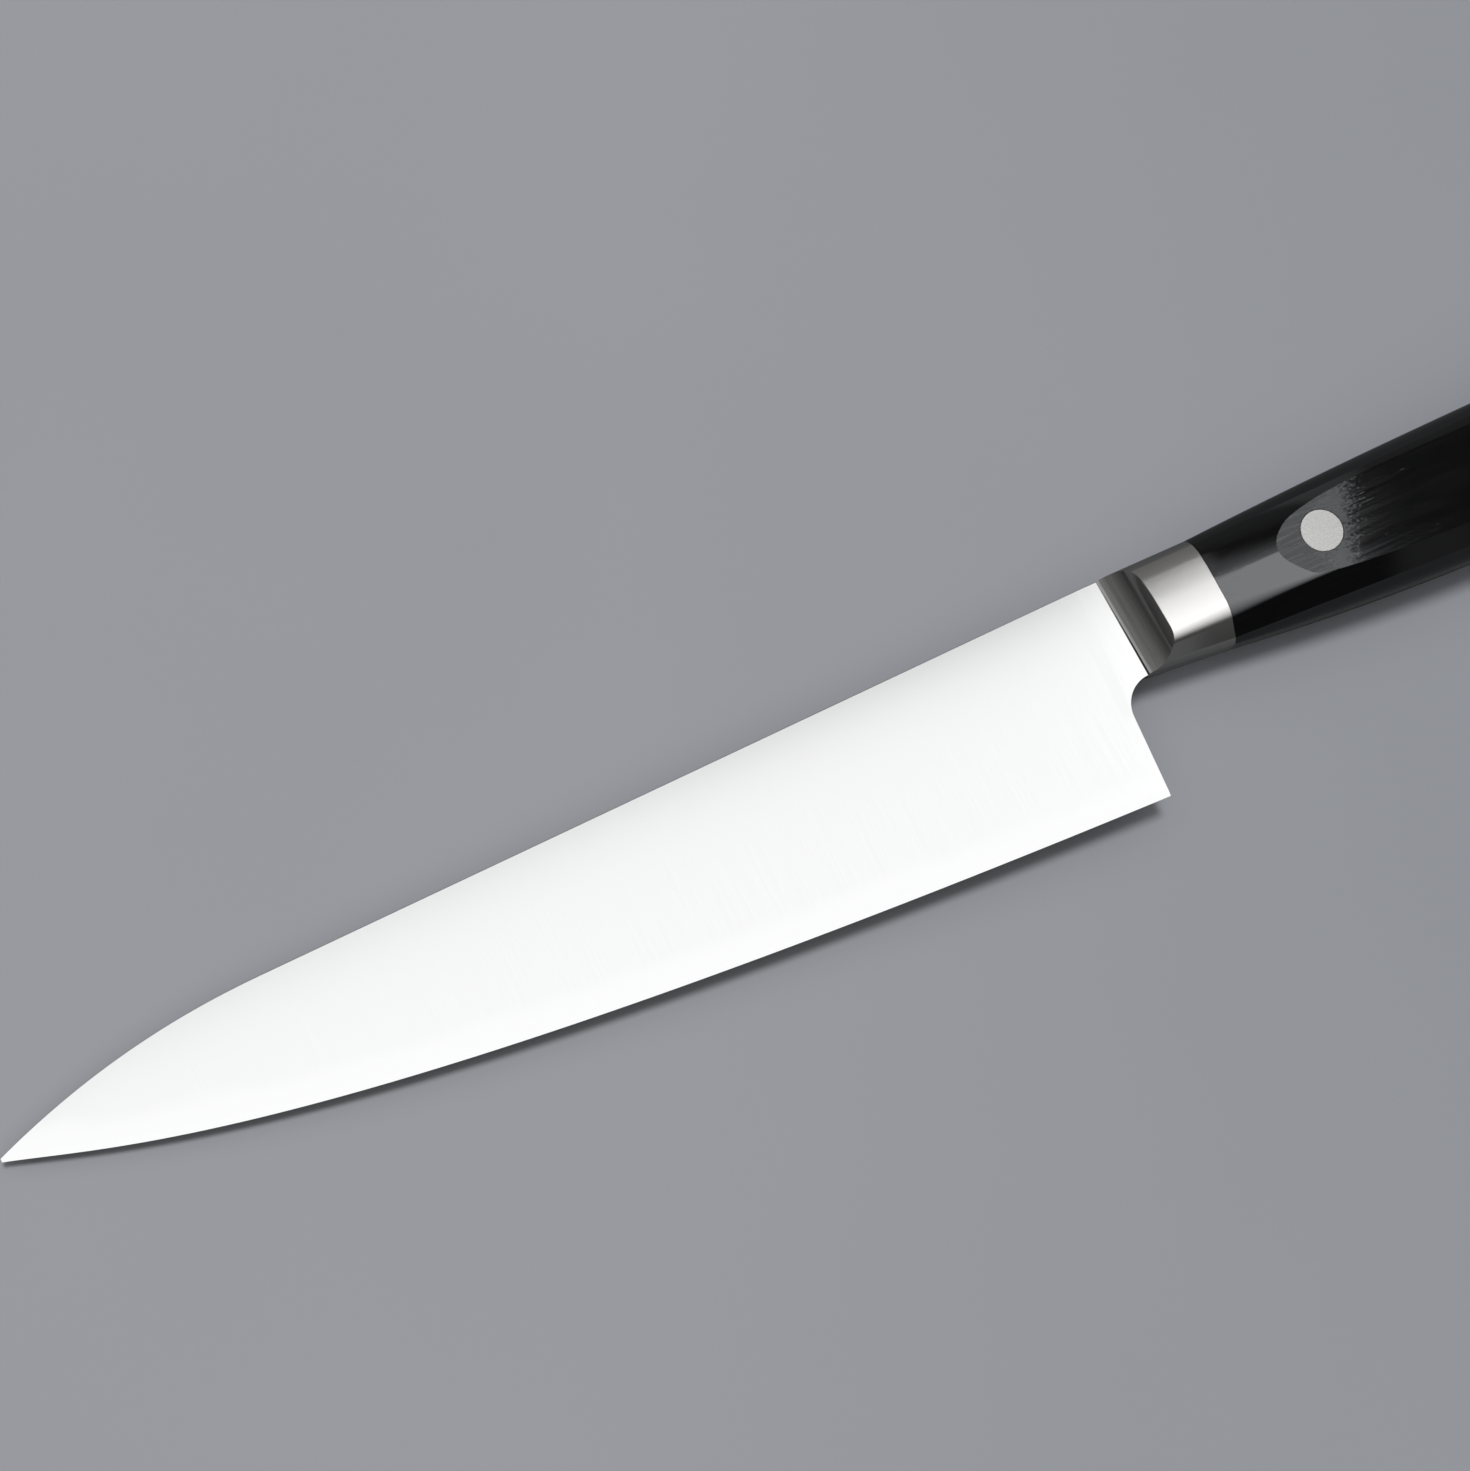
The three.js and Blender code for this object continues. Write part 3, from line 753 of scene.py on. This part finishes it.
def rivet_places():
    """Each rivet's centre and head radius, from the frame."""
    places = []
    for name in RIVET_NAMES:
        low, high = (np.array(corner) / MM - heel_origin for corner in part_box(f"{name}_rivet_stud"))
        places.append((name, (low[0] + high[0]) / 2, (low[1] + high[1]) / 2, (high[0] - low[0]) / 2))
    return places


head_seat = grip_half - RIVET_HEAD_DEPTH
stud_radius = STUD_DIAMETER / 2
bore_radius = stud_radius + RIVET_CLEARANCE
sleeve_radius = bore_radius + SLEEVE_WALL
shank_hole_radius = sleeve_radius + RIVET_CLEARANCE


def scale_stations():
    stations = []
    for start, end, step in ((scale_x, flare_x, FLARE_STEP), (flare_x, round_x, GRIP_STEP)):
        count = math.ceil((end - start) / step)
        stations += [lerp(start, end, i / count) for i in range(count)]
    return stations + butt_stations()


def scale_rows(x):
    """The scale's outside from its upper to its lower edge on the tang."""
    stretches = (
        (place_at(x, cheek_z, True), SHOULDER_END, TOP_ROWS),
        (SHOULDER_END, SHOULDER_END + 1, SIDE_ROWS),
        (SHOULDER_END + 1, SHOULDER_END + 2, CROWN_ROWS),
        (SHOULDER_END + 2, RIDGE_END - 1, LOW_SIDE_ROWS),
        (RIDGE_END - 1, RIDGE_END, RIDGE_ROWS),
        (RIDGE_END, place_at(x, cheek_z, False), FLANK_ROWS),
    )
    places = [stretches[0][0]]
    for start, end, count in stretches:
        places += list(even_places(x, start, end, count)[1:])
    y, z = outline_point(x, np.array(places))
    return [(x, *point) for point in zip(y, z)]


def hole_ring(bm, x, y, z, radius, mirrored):
    """A closed ring of vertices and edges around a rivet hole.

    It has no vertex at its very top: with one there, the fill round the tang's front hole overlapped itself.
    """
    angles = (np.arange(HOLE_STEPS) + HALF_STEP) * 2 * math.pi / HOLE_STEPS
    heights = np.full(HOLE_STEPS, -z if mirrored else z)
    points = np.column_stack([x + radius * np.cos(angles), y + radius * np.sin(angles), heights])
    verts = [bm.verts.new(point) for point in in_frame(points)]
    edges = [bm.edges.new((verts[i - 1], verts[i])) for i in range(HOLE_STEPS)]
    return verts, edges


def join_rings(bm, rings):
    for (first, _), (second, _) in zip(rings[:-1], rings[1:]):
        for i in range(HOLE_STEPS):
            bm.faces.new((first[i - 1], first[i], second[i], second[i - 1]))


def fill(bm, edges, side):
    """Fills the flat face between the edges and gives its triangles."""
    filled = bmesh.ops.triangle_fill(bm, use_beauty=True, edges=edges, normal=(0, 0, side))
    return [face for face in filled["geom"] if isinstance(face, bmesh.types.BMFace)]


def open_edges(bm, z):
    return [e for e in bm.edges if e.is_boundary and all(abs(v.co.z - z) < SAME_HEIGHT for v in e.verts)]


def cut_flat_and_holes(bm, mirrored):
    """Cuts the grip's flat, then fills it and the inner face round the rivet holes."""
    on_flat = bm.faces.layers.float.new(ON_FLAT)
    side = -1 if mirrored else 1
    flat_z = (middle_z + side * grip_half) * MM
    inner_z = (middle_z + side * cheek_z) * MM
    geometry = bm.verts[:] + bm.edges[:] + bm.faces[:]
    bmesh.ops.bisect_plane(
        bm, geom=geometry, dist=CUT_REACH, plane_co=(0, 0, flat_z), plane_no=(0, 0, side), clear_outer=True
    )
    flat_edges = open_edges(bm, flat_z)
    inner_edges = open_edges(bm, inner_z)
    for _, x, y, head_radius in rivet_places():
        head = head_radius + RIVET_CLEARANCE
        seat = head_seat - RIVET_CLEARANCE
        steps = ((grip_half, head), (seat, head), (seat, shank_hole_radius), (cheek_z, shank_hole_radius))
        rings = [hole_ring(bm, x, y, z, radius, mirrored) for z, radius in steps]
        join_rings(bm, rings)
        flat_edges += rings[0][1]
        inner_edges += rings[-1][1]
    for edge in flat_edges:
        edge.smooth = False
    for face in fill(bm, flat_edges, side):
        face[on_flat] = 1.0
    fill(bm, inner_edges, -side)


def build_scale(side_name, mirrored, material):
    made = Builder()
    columns = [made.line(scale_rows(x)) for x in scale_stations()]
    for first, second in zip(columns[:-1], columns[1:]):
        made.strip(first, second)
    made.faces.append(columns[0])
    made.faces.append(columns[-1])
    bm = made.bmesh(mirrored)
    cut_flat_and_holes(bm, mirrored)
    name = f"scale_{side_name}"
    knife_piece(name, finished_mesh(bm, name), f"handle_scale_{side_name}", material)


# Rivets

RIVET_STEPS = 96


def turned_piece(name, node, profile, x, y, material):
    """A piece turned about an axis along z, from (radius, z) points; the first and last close it flat."""
    made = Builder()
    angles = np.arange(RIVET_STEPS) * 2 * math.pi / RIVET_STEPS
    rings = [made.line([(x + r * math.cos(a), y + r * math.sin(a), z) for a in angles]) for r, z in profile]
    for first, second in zip(rings[:-1], rings[1:]):
        made.strip(first + first[:1], second + second[:1])
    made.faces += [rings[0], rings[-1]]
    knife_piece(name, finished_mesh(made.bmesh(), name), node, material)


def head_profile(radius, seat, top):
    edge = math.copysign(RIVET_EDGE, top)
    return [(radius, seat), (radius, top - edge), (radius - RIVET_EDGE, top)]


def build_rivets(material):
    for name, x, y, head_radius in rivet_places():
        stud_end = RIVET_END_GAP - head_seat
        stud = [(stud_radius, stud_end), (stud_radius, head_seat)]
        stud += head_profile(head_radius, head_seat, grip_half)
        turned_piece(f"{name}_stud", f"{name}_rivet_stud", stud, x, y, material)
        sleeve = [(bore_radius, -head_seat), (bore_radius, -stud_end), (sleeve_radius, -stud_end)]
        sleeve += [(sleeve_radius, -head_seat), *head_profile(head_radius, -head_seat, -grip_half)]
        turned_piece(f"{name}_sleeve", f"{name}_rivet_sleeve", sleeve, x, y, material)


# Materials. Noise scales are features per metre along x, y and z, and relief is in metres.

NOISE_SPREAD = (0.3, 0.7)
AFT = (1.0, 0.0, 0.0)

BLADE_LINES = (9000, 90, 90)
BLADE_CLOUDS = (120, 120, 120)
BLADE_COLOURS = ((0.528, 0.53, 0.532, 1), (0.55, 0.551, 0.552, 1))
BLADE_ROUGHNESS = (0.085, 0.115)
BLADE_RELIEF = 0.2e-6
EDGE_COLOUR = (0.553, 0.554, 0.555, 1)
EDGE_POLISH = (2.6, 4.6)
EDGE_WANDER = 0.6
EDGE_SMOOTHER = 0.02
# Painted shade on the tang, standing in for the shadowed floor it reflects under the handle, and its duller
# finish
TANG_PAINTED_SHADE = (0.26, 0.258, 0.255, 1)
TANG_ROUGHNESS = 0.32

BOLSTER_COLOUR = (0.69, 0.682, 0.668, 1)
BOLSTER_ROUGHNESS = 0.2
SCOOP_STREAKS = (1900, 45, 1900)
SCOOP_SPREAD = (0.32, 0.68)
SCOOP_COLOURS = ((0.50, 0.494, 0.486, 1), (0.80, 0.792, 0.778, 1))
SCOOP_ROUGHNESS = (0.19, 0.12)
SCOOP_RELIEF = 1.2e-6

RIVET_LINES = (500, 11000, 1000)
RIVET_COLOURS = ((0.56, 0.556, 0.552, 1), (0.62, 0.616, 0.612, 1))
RIVET_ROUGHNESS = (0.2, 0.3)
RIVET_RELIEF = 0.3e-6

WOOD_FIBRE = (90, 2400, 2400)
WOOD_PORES = (420, 4200, 4200)
WOOD_WAVES = (60, 700, 700)
FIBRE_SPREAD = (0.45, 0.75)
PORE_SPREAD = (0.7, 0.78)
WOOD_COLOURS = ((0.0009, 0.0009, 0.0011, 1), (0.0028, 0.0027, 0.0029, 1))
WOOD_ROUGHNESS = (0.045, 0.075)
WOOD_RELIEF = 1.6e-6
WOOD_IOR = 1.6
WOOD_SHINE = (0.95, 0.97, 1.0, 1)
FIBRE_HEIGHT = 0.3
WAVE_HEIGHT = 5.0
GRIT_HEIGHT = 0.3
SANDED_WAY = (0.89, -0.45, 0.0)
SANDED_PAST_RIVET = 1.9
SANDED_BLUR = 2.8
SANDED_WANDER = 2.2
SANDED_EDGE = (2300, 3400, 3400)
SANDED_GRIT = (3500, 5200, 5200)
SANDED_LINES = (220, 3600, 3600)
SANDED_SPREAD = (0.35, 0.65)
SANDED_ROUGHNESS = (0.2, 0.38)
END_GRAIN_REACH = 9.0
END_GRAIN_FULL = 3.0
END_GRAIN_ROUGHNESS = 0.3

PAPER_CLOUDS = (9, 9, 9)
PAPER_CLOUD_DEPTH = 0.08
# Painted shade on the floor: where it darkens across the view, how far towards its shaded tone, and its lit
# and shaded tones
PAPER_SHADE_REACH = (-0.08, 0.14)
PAPER_PAINTED_SHADE_SHARES = (0.1, 0.9)
PAPER_LIT_AND_SHADED = ((0.352, 0.361, 0.388, 1), (0.27, 0.284, 0.318, 1))
PAPER_IN_GLOSS = (0.075, 0.077, 0.08, 1)
PAPER_ROUGHNESS = 0.8


class Nodes:
    """A short way to build the node tree of a material or the world."""

    def __init__(self, tree):
        self.tree = tree

    def put(self, socket, value):
        """Links a socket to another one, or sets its value."""
        if isinstance(value, bpy.types.NodeSocket):
            self.tree.links.new(value, socket)
        else:
            socket.default_value = value

    def new(self, kind, inputs=None, **settings):
        node = self.tree.nodes.new(kind)
        for key, value in settings.items():
            setattr(node, key, value)
        for key, value in (inputs or {}).items():
            self.put(node.inputs[key], value)
        return node

    def math(self, operation, a, b=0.0):
        return self.new("ShaderNodeMath", {0: a, 1: b}, operation=operation).outputs[0]

    def place(self):
        return self.new("ShaderNodeTexCoord").outputs["Object"]

    def place_along(self, way):
        """How far a point lies along a direction, in metres."""
        inputs = {0: self.place(), 1: way}
        return self.new("ShaderNodeVectorMath", inputs, operation="DOT_PRODUCT").outputs["Value"]

    def noise(self, scale, detail=2.0, roughness=0.5):
        mapping = self.new("ShaderNodeMapping", {"Vector": self.place(), "Scale": scale})
        settings = {"Vector": mapping.outputs[0], "Scale": 1.0, "Detail": detail, "Roughness": roughness}
        return self.new("ShaderNodeTexNoise", settings).outputs["Fac"]

    def ramp(self, value, low, high, to_low, to_high, smooth=False):
        settings = {"Value": value, "From Min": low, "From Max": high, "To Min": to_low, "To Max": to_high}
        kind = "SMOOTHSTEP" if smooth else "LINEAR"
        return self.new("ShaderNodeMapRange", settings, interpolation_type=kind).outputs["Result"]

    def blend(self, factor, a, b):
        settings = {"Value": factor, "To Min": a, "To Max": b}
        return self.new("ShaderNodeMapRange", settings).outputs["Result"]

    def attribute(self, name):
        return self.new("ShaderNodeAttribute", attribute_name=name).outputs["Fac"]

    def mix(self, factor, a, b):
        node = self.new("ShaderNodeMix", data_type="RGBA")
        for key, value in (("Factor_Float", factor), ("A_Color", a), ("B_Color", b)):
            self.put(next(s for s in node.inputs if s.identifier == key), value)
        return next(s for s in node.outputs if s.identifier == "Result_Color")

    def bump(self, height, distance):
        inputs = {"Height": height, "Distance": distance, "Strength": 1.0}
        return self.new("ShaderNodeBump", inputs).outputs[0]

    def window(self, level, parts, sides):
        """Keeps a level only between sides, which fade it along X, Y or Z of a direction."""
        for key, *fade in sides:
            level = self.math("MULTIPLY", level, self.ramp(parts[key], *fade, smooth=True))
        return level


def sanded_end():
    """How far along the sanded way the dull front of the flats reaches, in the frame's millimetres."""
    _, x, y, _ = rivet_places()[0]
    centre = heel_origin + (x, y, 0)
    return float(np.dot(centre, SANDED_WAY)) + SANDED_PAST_RIVET


def new_material(name):
    material = bpy.data.materials.new(name)
    material.use_nodes = True
    nodes = Nodes(material.node_tree)
    shader = material.node_tree.nodes["Principled BSDF"]
    return material, nodes, shader


def connect(nodes, shader, **inputs):
    for key, value in inputs.items():
        nodes.put(shader.inputs[key.replace("_", " ")], value)


def blade_steel():
    """Satin steel with fine grinding lines from spine to edge, polished brighter along the edge; the tang
    behind the joint is rougher and carries painted shade.
    """
    material, nodes, shader = new_material("blade_steel")
    lines = nodes.noise(BLADE_LINES, detail=3.0)
    wander = nodes.ramp(nodes.noise(BLADE_CLOUDS), *NOISE_SPREAD, -EDGE_WANDER, EDGE_WANDER)
    height = nodes.math("ADD", nodes.attribute(ABOVE_EDGE), wander)
    polish = nodes.ramp(height, *EDGE_POLISH, 1, 0)
    satin = nodes.mix(nodes.ramp(lines, *NOISE_SPREAD, 0, 1), *BLADE_COLOURS)
    colour = nodes.mix(polish, satin, EDGE_COLOUR)
    roughness = nodes.ramp(lines, *NOISE_SPREAD, *BLADE_ROUGHNESS)
    roughness = nodes.math("SUBTRACT", roughness, nodes.ramp(polish, 0, 1, 0, EDGE_SMOOTHER))
    # Painted shade: the tang's steel behind the joint is coloured darker, standing in for the shadowed floor
    # it reflects under the handle; it is also rougher.
    tang = nodes.math("GREATER_THAN", nodes.place_along(AFT), in_frame((joint_x, 0, 0))[0][0])
    colour = nodes.mix(tang, colour, TANG_PAINTED_SHADE)
    roughness = nodes.blend(tang, roughness, TANG_ROUGHNESS)
    normal = nodes.bump(lines, BLADE_RELIEF)
    connect(nodes, shader, Base_Color=colour, Metallic=1.0, Roughness=roughness, Normal=normal)
    return material


def bolster_steel():
    """Polished steel; the scoop keeps the streaks of the wheel that ground it."""
    material, nodes, shader = new_material("bolster_steel")
    streaks = nodes.noise(SCOOP_STREAKS, detail=4.0, roughness=0.6)
    streaks = nodes.ramp(streaks, *SCOOP_SPREAD, 0, 1)
    in_scoop = nodes.attribute(IN_SCOOP)
    colour = nodes.mix(in_scoop, BOLSTER_COLOUR, nodes.mix(streaks, *SCOOP_COLOURS))
    roughness = nodes.blend(in_scoop, BOLSTER_ROUGHNESS, nodes.ramp(streaks, 0, 1, *SCOOP_ROUGHNESS))
    normal = nodes.bump(nodes.math("MULTIPLY", streaks, in_scoop), SCOOP_RELIEF)
    connect(nodes, shader, Base_Color=colour, Metallic=1.0, Roughness=roughness, Normal=normal)
    return material


def rivet_steel():
    """Steel ground flush with the wood, so it is duller and its lines run along the handle."""
    material, nodes, shader = new_material("rivet_steel")
    lines = nodes.noise(RIVET_LINES, detail=3.0)
    roughness = nodes.ramp(lines, *NOISE_SPREAD, *RIVET_ROUGHNESS)
    colour = nodes.mix(nodes.ramp(lines, *NOISE_SPREAD, 0, 1), *RIVET_COLOURS)
    normal = nodes.bump(lines, RIVET_RELIEF)
    connect(nodes, shader, Base_Color=colour, Metallic=1.0, Roughness=roughness, Normal=normal)
    return material


def black_wood():
    """Black laminated wood, polished; duller on the end grain and where the flats run out in front."""
    material, nodes, shader = new_material("black_wood")
    fibre = nodes.noise(WOOD_FIBRE, detail=4.0, roughness=0.6)
    pores = nodes.ramp(nodes.noise(WOOD_PORES, detail=1.0), *PORE_SPREAD, 0, 1)
    colour = nodes.mix(nodes.ramp(fibre, *FIBRE_SPREAD, 0, 1), *WOOD_COLOURS)

    wander = nodes.noise(SANDED_EDGE, detail=3.0, roughness=0.6)
    wander = nodes.ramp(wander, *NOISE_SPREAD, -SANDED_WANDER, SANDED_WANDER)
    setback = nodes.math("DIVIDE", nodes.place_along(SANDED_WAY), MM)
    reach = (sanded_end() - SANDED_BLUR, sanded_end() + SANDED_BLUR, 1, 0)
    on_flat = nodes.attribute(ON_FLAT)
    sanded = nodes.math("MULTIPLY", nodes.ramp(nodes.math("ADD", setback, wander), *reach), on_flat)
    worn = nodes.math("MULTIPLY", nodes.ramp(setback, *reach, smooth=True), on_flat)

    polished = nodes.ramp(fibre, *NOISE_SPREAD, *WOOD_ROUGHNESS)
    dull = nodes.ramp(nodes.noise(SANDED_LINES, detail=3.0), *SANDED_SPREAD, *SANDED_ROUGHNESS)
    along = nodes.math("DIVIDE", nodes.place_along(AFT), MM)
    end_x = float(heel_origin[0] + butt_x)
    end_grain = nodes.ramp(along, end_x - END_GRAIN_REACH, end_x - END_GRAIN_FULL, 0, 1, smooth=True)
    roughness = nodes.blend(end_grain, nodes.blend(sanded, polished, dull), END_GRAIN_ROUGHNESS)

    waves = nodes.math("MULTIPLY", nodes.noise(WOOD_WAVES), WAVE_HEIGHT)
    relief = nodes.math("ADD", nodes.math("MULTIPLY", fibre, FIBRE_HEIGHT), waves)
    relief = nodes.math("SUBTRACT", relief, pores)
    grit = nodes.math("MULTIPLY", nodes.noise(SANDED_GRIT, detail=3.0), worn)
    scratched = nodes.math("MULTIPLY", grit, GRIT_HEIGHT)
    normal = nodes.bump(nodes.math("ADD", relief, scratched), WOOD_RELIEF)
    connect(nodes, shader, Base_Color=colour, Roughness=roughness, Normal=normal)
    connect(nodes, shader, IOR=WOOD_IOR, Specular_IOR_Level=1.0, Specular_Tint=WOOD_SHINE)
    return material


def floor_paper():
    """Grey paper with painted shade that darkens it across the view, as the light falls off; reflections
    show it darker than it is.
    """
    material, nodes, shader = new_material("floor_paper")
    cloud = nodes.noise(PAPER_CLOUDS, detail=3.0)
    cloud = nodes.ramp(cloud, *NOISE_SPREAD, -PAPER_CLOUD_DEPTH, PAPER_CLOUD_DEPTH)
    # Painted shade: the paper runs from its lit tone to a shaded one across the view, as the light falls
    # off.
    across = nodes.ramp(nodes.place_along(VIEW_RIGHT), *PAPER_SHADE_REACH, *PAPER_PAINTED_SHADE_SHARES)
    paper = nodes.mix(nodes.math("ADD", across, cloud), *PAPER_LIT_AND_SHADED)
    # Painted shade in reflections: glossy rays see the paper darker than it is.
    glossy = nodes.new("ShaderNodeLightPath").outputs["Is Glossy Ray"]
    colour = nodes.mix(glossy, paper, PAPER_IN_GLOSS)
    connect(nodes, shader, Base_Color=colour, Roughness=PAPER_ROUGHNESS)
    return material


# Camera, floor and light

CLIP_START = 0.01
FLAT_SAMPLES = 200
FLOOR_SIZE = 30.0
FLOOR_LEAN = math.radians(1.6)
SOFTBOX_LEVEL = 1.75
SOFTBOX_HOT_SIDE = 1.7
SOFTBOX_STEP = 0.3
SOFTBOX_SKEW = 0.09
SOFTBOX_FRONT = (-4.5, -0.3)
SOFTBOX_FRONT_POWER = 3.0
SOFTBOX_BACK = (0.18, 0.227)
HOT_SIDE = (0.382, 0.394)
SOFTBOX_FADES = ((-0.45, -0.35, 0, 1), (*HOT_SIDE, 1, SOFTBOX_HOT_SIDE), (0.428, 0.452, 1, 0))
GLOW_LEVEL = 0.9
GLOW_REACH = (0.16, 0.5)
GLOW_POWER = 2.0
HORIZON = (0.02, 0.1)
JUST_OVER_ONE = 1.001
ROOM_HEIGHT = (0, 0.7)
ROOM_LEVELS = (0.36, 0.6)
DARK_REACH = (0.2, 0.9)
DARK_LEVELS = (0.024, 0.09)
DARK_SIDES = (("X", 0.0, 0.09, 0, 1), ("X", 0.5, 0.6, 1, 0))
WALL_HEIGHT = (0, 0.8)
WALL_LEVELS = (0.0, 0.17)
WALL_SIDES = (("X", -0.55, -0.3, 1, 0), ("Y", -0.06, 0.1, 0, 1), ("Y", 0.5, 0.75, 1, 0))
PANEL_REACH = (0.5, 0.9)
PANEL_LEVELS = (0.36, 0.22)
PANEL_FRONT = ("Y", 0.3, 0.5, 0, 1)
PANEL_SIDES = (("X", 0.29, 0.345, 0, 1), ("X", 0.378, 0.43, 1, 0))
LOW_PANEL_LEVEL = 0.085
LOW_PANEL_FRONT = ("Y", -0.5, -0.3, 1, 0)
KEY_STRENGTH = 1.7
KEY_ANGLE = math.radians(14)
KEY_LEAN = math.radians(8)
FILL_STRENGTH = 1.0
FILL_ANGLE = math.radians(110)
BACKDROP = (0.285, 0.293, 0.318, 1)


def add_camera():
    data = bpy.data.cameras.new("camera")
    data.sensor_fit = "HORIZONTAL"
    data.sensor_width = SENSOR_WIDTH
    data.lens = FOCAL_PIXELS / PHOTO_WIDTH * SENSOR_WIDTH
    data.clip_start = CLIP_START
    camera = bpy.data.objects.new("camera", data)
    bpy.context.scene.collection.objects.link(camera)
    right = Vector(VIEW_RIGHT).normalized()
    forward = Vector(VIEW_FORWARD).normalized()
    turn = Matrix((right, right.cross(forward), -forward)).transposed()
    camera.matrix_world = Matrix.Translation(in_frame(CAMERA_FROM_HEEL)[0]) @ turn.to_4x4()
    bpy.context.scene.camera = camera


def flat_start():
    """Where the right flat, which the knife lies on, begins behind the bolster."""
    stations = np.linspace(joint_x, flare_x, FLAT_SAMPLES)
    return next(x for x in stations if section(x)[widest(x)][2] >= grip_half)


def add_floor(material):
    """The floor touches the front of the flat that the knife lies on and, as the shadow shows, leans."""
    start = np.array((flat_start(), 0.0, -grip_half))
    bpy.ops.mesh.primitive_plane_add(size=FLOOR_SIZE)
    floor = bpy.context.object
    floor.name = "floor"
    floor.matrix_world = Matrix.Translation(in_frame(start)[0]) @ Matrix.Rotation(FLOOR_LEAN, 4, "Y")
    floor.data.materials.append(material)


def add_sun(name, strength, angle, lean):
    """A soft lamp for the matt surfaces, leaning from behind the spine; gloss shows the room instead."""
    data = bpy.data.lights.new(name, "SUN")
    data.energy = strength
    data.angle = angle
    light = bpy.data.objects.new(name, data)
    bpy.context.scene.collection.objects.link(light)
    light.rotation_euler = (-lean, 0, 0)
    light.visible_glossy = False


def add_room():
    """What the gloss shows: an overhead softbox with a glow behind it, in a grey room with dark cards.

    The softbox is laid out by slopes from straight up, along x and across it. Its back edge is skewed, and
    over the handle it reaches further back by a step. The room, cards and panels are laid out by the
    direction's own X, Y and Z.
    """
    world = bpy.data.worlds.new("room")
    bpy.context.scene.world = world
    world.use_nodes = True
    world.cycles_visibility.diffuse = False
    nodes = Nodes(world.node_tree)
    way = nodes.new("ShaderNodeTexCoord").outputs["Generated"]
    parts = nodes.new("ShaderNodeSeparateXYZ", {"Vector": way}).outputs
    square = nodes.math("MULTIPLY", parts["X"], parts["X"])
    upright = nodes.math("SQRT", nodes.math("SUBTRACT", JUST_OVER_ONE, square))
    along = nodes.math("DIVIDE", parts["X"], upright)
    across = nodes.math("DIVIDE", parts["Y"], nodes.math("MAXIMUM", parts["Z"], HORIZON[0]))

    overhead = nodes.ramp(parts["Z"], *HORIZON, 0, 1)
    for fade in SOFTBOX_FADES:
        overhead = nodes.math("MULTIPLY", overhead, nodes.ramp(along, *fade, smooth=True))
    step = nodes.ramp(along, *HOT_SIDE, 0, SOFTBOX_STEP, smooth=True)
    stepped = nodes.math("SUBTRACT", across, step)
    front = nodes.math("POWER", nodes.ramp(stepped, *SOFTBOX_FRONT, 0, 1), SOFTBOX_FRONT_POWER)
    behind = nodes.math("ADD", stepped, nodes.math("MULTIPLY", along, SOFTBOX_SKEW))
    box = nodes.math("MULTIPLY", nodes.ramp(behind, *SOFTBOX_BACK, 1, 0, smooth=True), SOFTBOX_LEVEL)
    glow = nodes.math("POWER", nodes.ramp(behind, *GLOW_REACH, 1, 0), GLOW_POWER)
    lit = nodes.math("MAXIMUM", box, nodes.math("MULTIPLY", glow, GLOW_LEVEL))
    lit = nodes.math("MULTIPLY", nodes.math("MULTIPLY", lit, front), overhead)

    room = nodes.ramp(parts["Z"], *ROOM_HEIGHT, *ROOM_LEVELS)
    dark = nodes.ramp(parts["Y"], *DARK_REACH, *DARK_LEVELS, smooth=True)
    room = nodes.blend(nodes.window(1.0, parts, DARK_SIDES), room, dark)
    wall = nodes.ramp(parts["Z"], *WALL_HEIGHT, *WALL_LEVELS)
    room = nodes.blend(nodes.window(1.0, parts, WALL_SIDES), room, wall)
    panel = nodes.ramp(parts["Y"], *PANEL_REACH, *PANEL_LEVELS)
    panel = nodes.window(panel, parts, (PANEL_FRONT, *PANEL_SIDES))
    low_panel = nodes.window(LOW_PANEL_LEVEL, parts, (LOW_PANEL_FRONT, *PANEL_SIDES))
    panels = nodes.math("MAXIMUM", panel, low_panel)
    level = nodes.math("MAXIMUM", nodes.math("ADD", lit, dark), nodes.math("MAXIMUM", room, panels))
    grey = nodes.new("ShaderNodeCombineColor", {"Red": level, "Green": level, "Blue": level}).outputs[0]
    camera = nodes.new("ShaderNodeLightPath").outputs["Is Camera Ray"]
    background = world.node_tree.nodes["Background"]
    nodes.put(background.inputs["Color"], nodes.mix(camera, grey, BACKDROP))


add_camera()
bpy.context.scene.view_settings.view_transform = "Standard"

build_blade(blade_steel())
cheek_look = bolster_steel()
wood_look = black_wood()
for side_name, mirrored in (("left", False), ("right", True)):
    build_bolster(side_name, mirrored, cheek_look)
    build_scale(side_name, mirrored, wood_look)
build_rivets(rivet_steel())

add_floor(floor_paper())
add_sun("key", KEY_STRENGTH, KEY_ANGLE, KEY_LEAN)
add_sun("fill", FILL_STRENGTH, FILL_ANGLE, 0)
add_room()
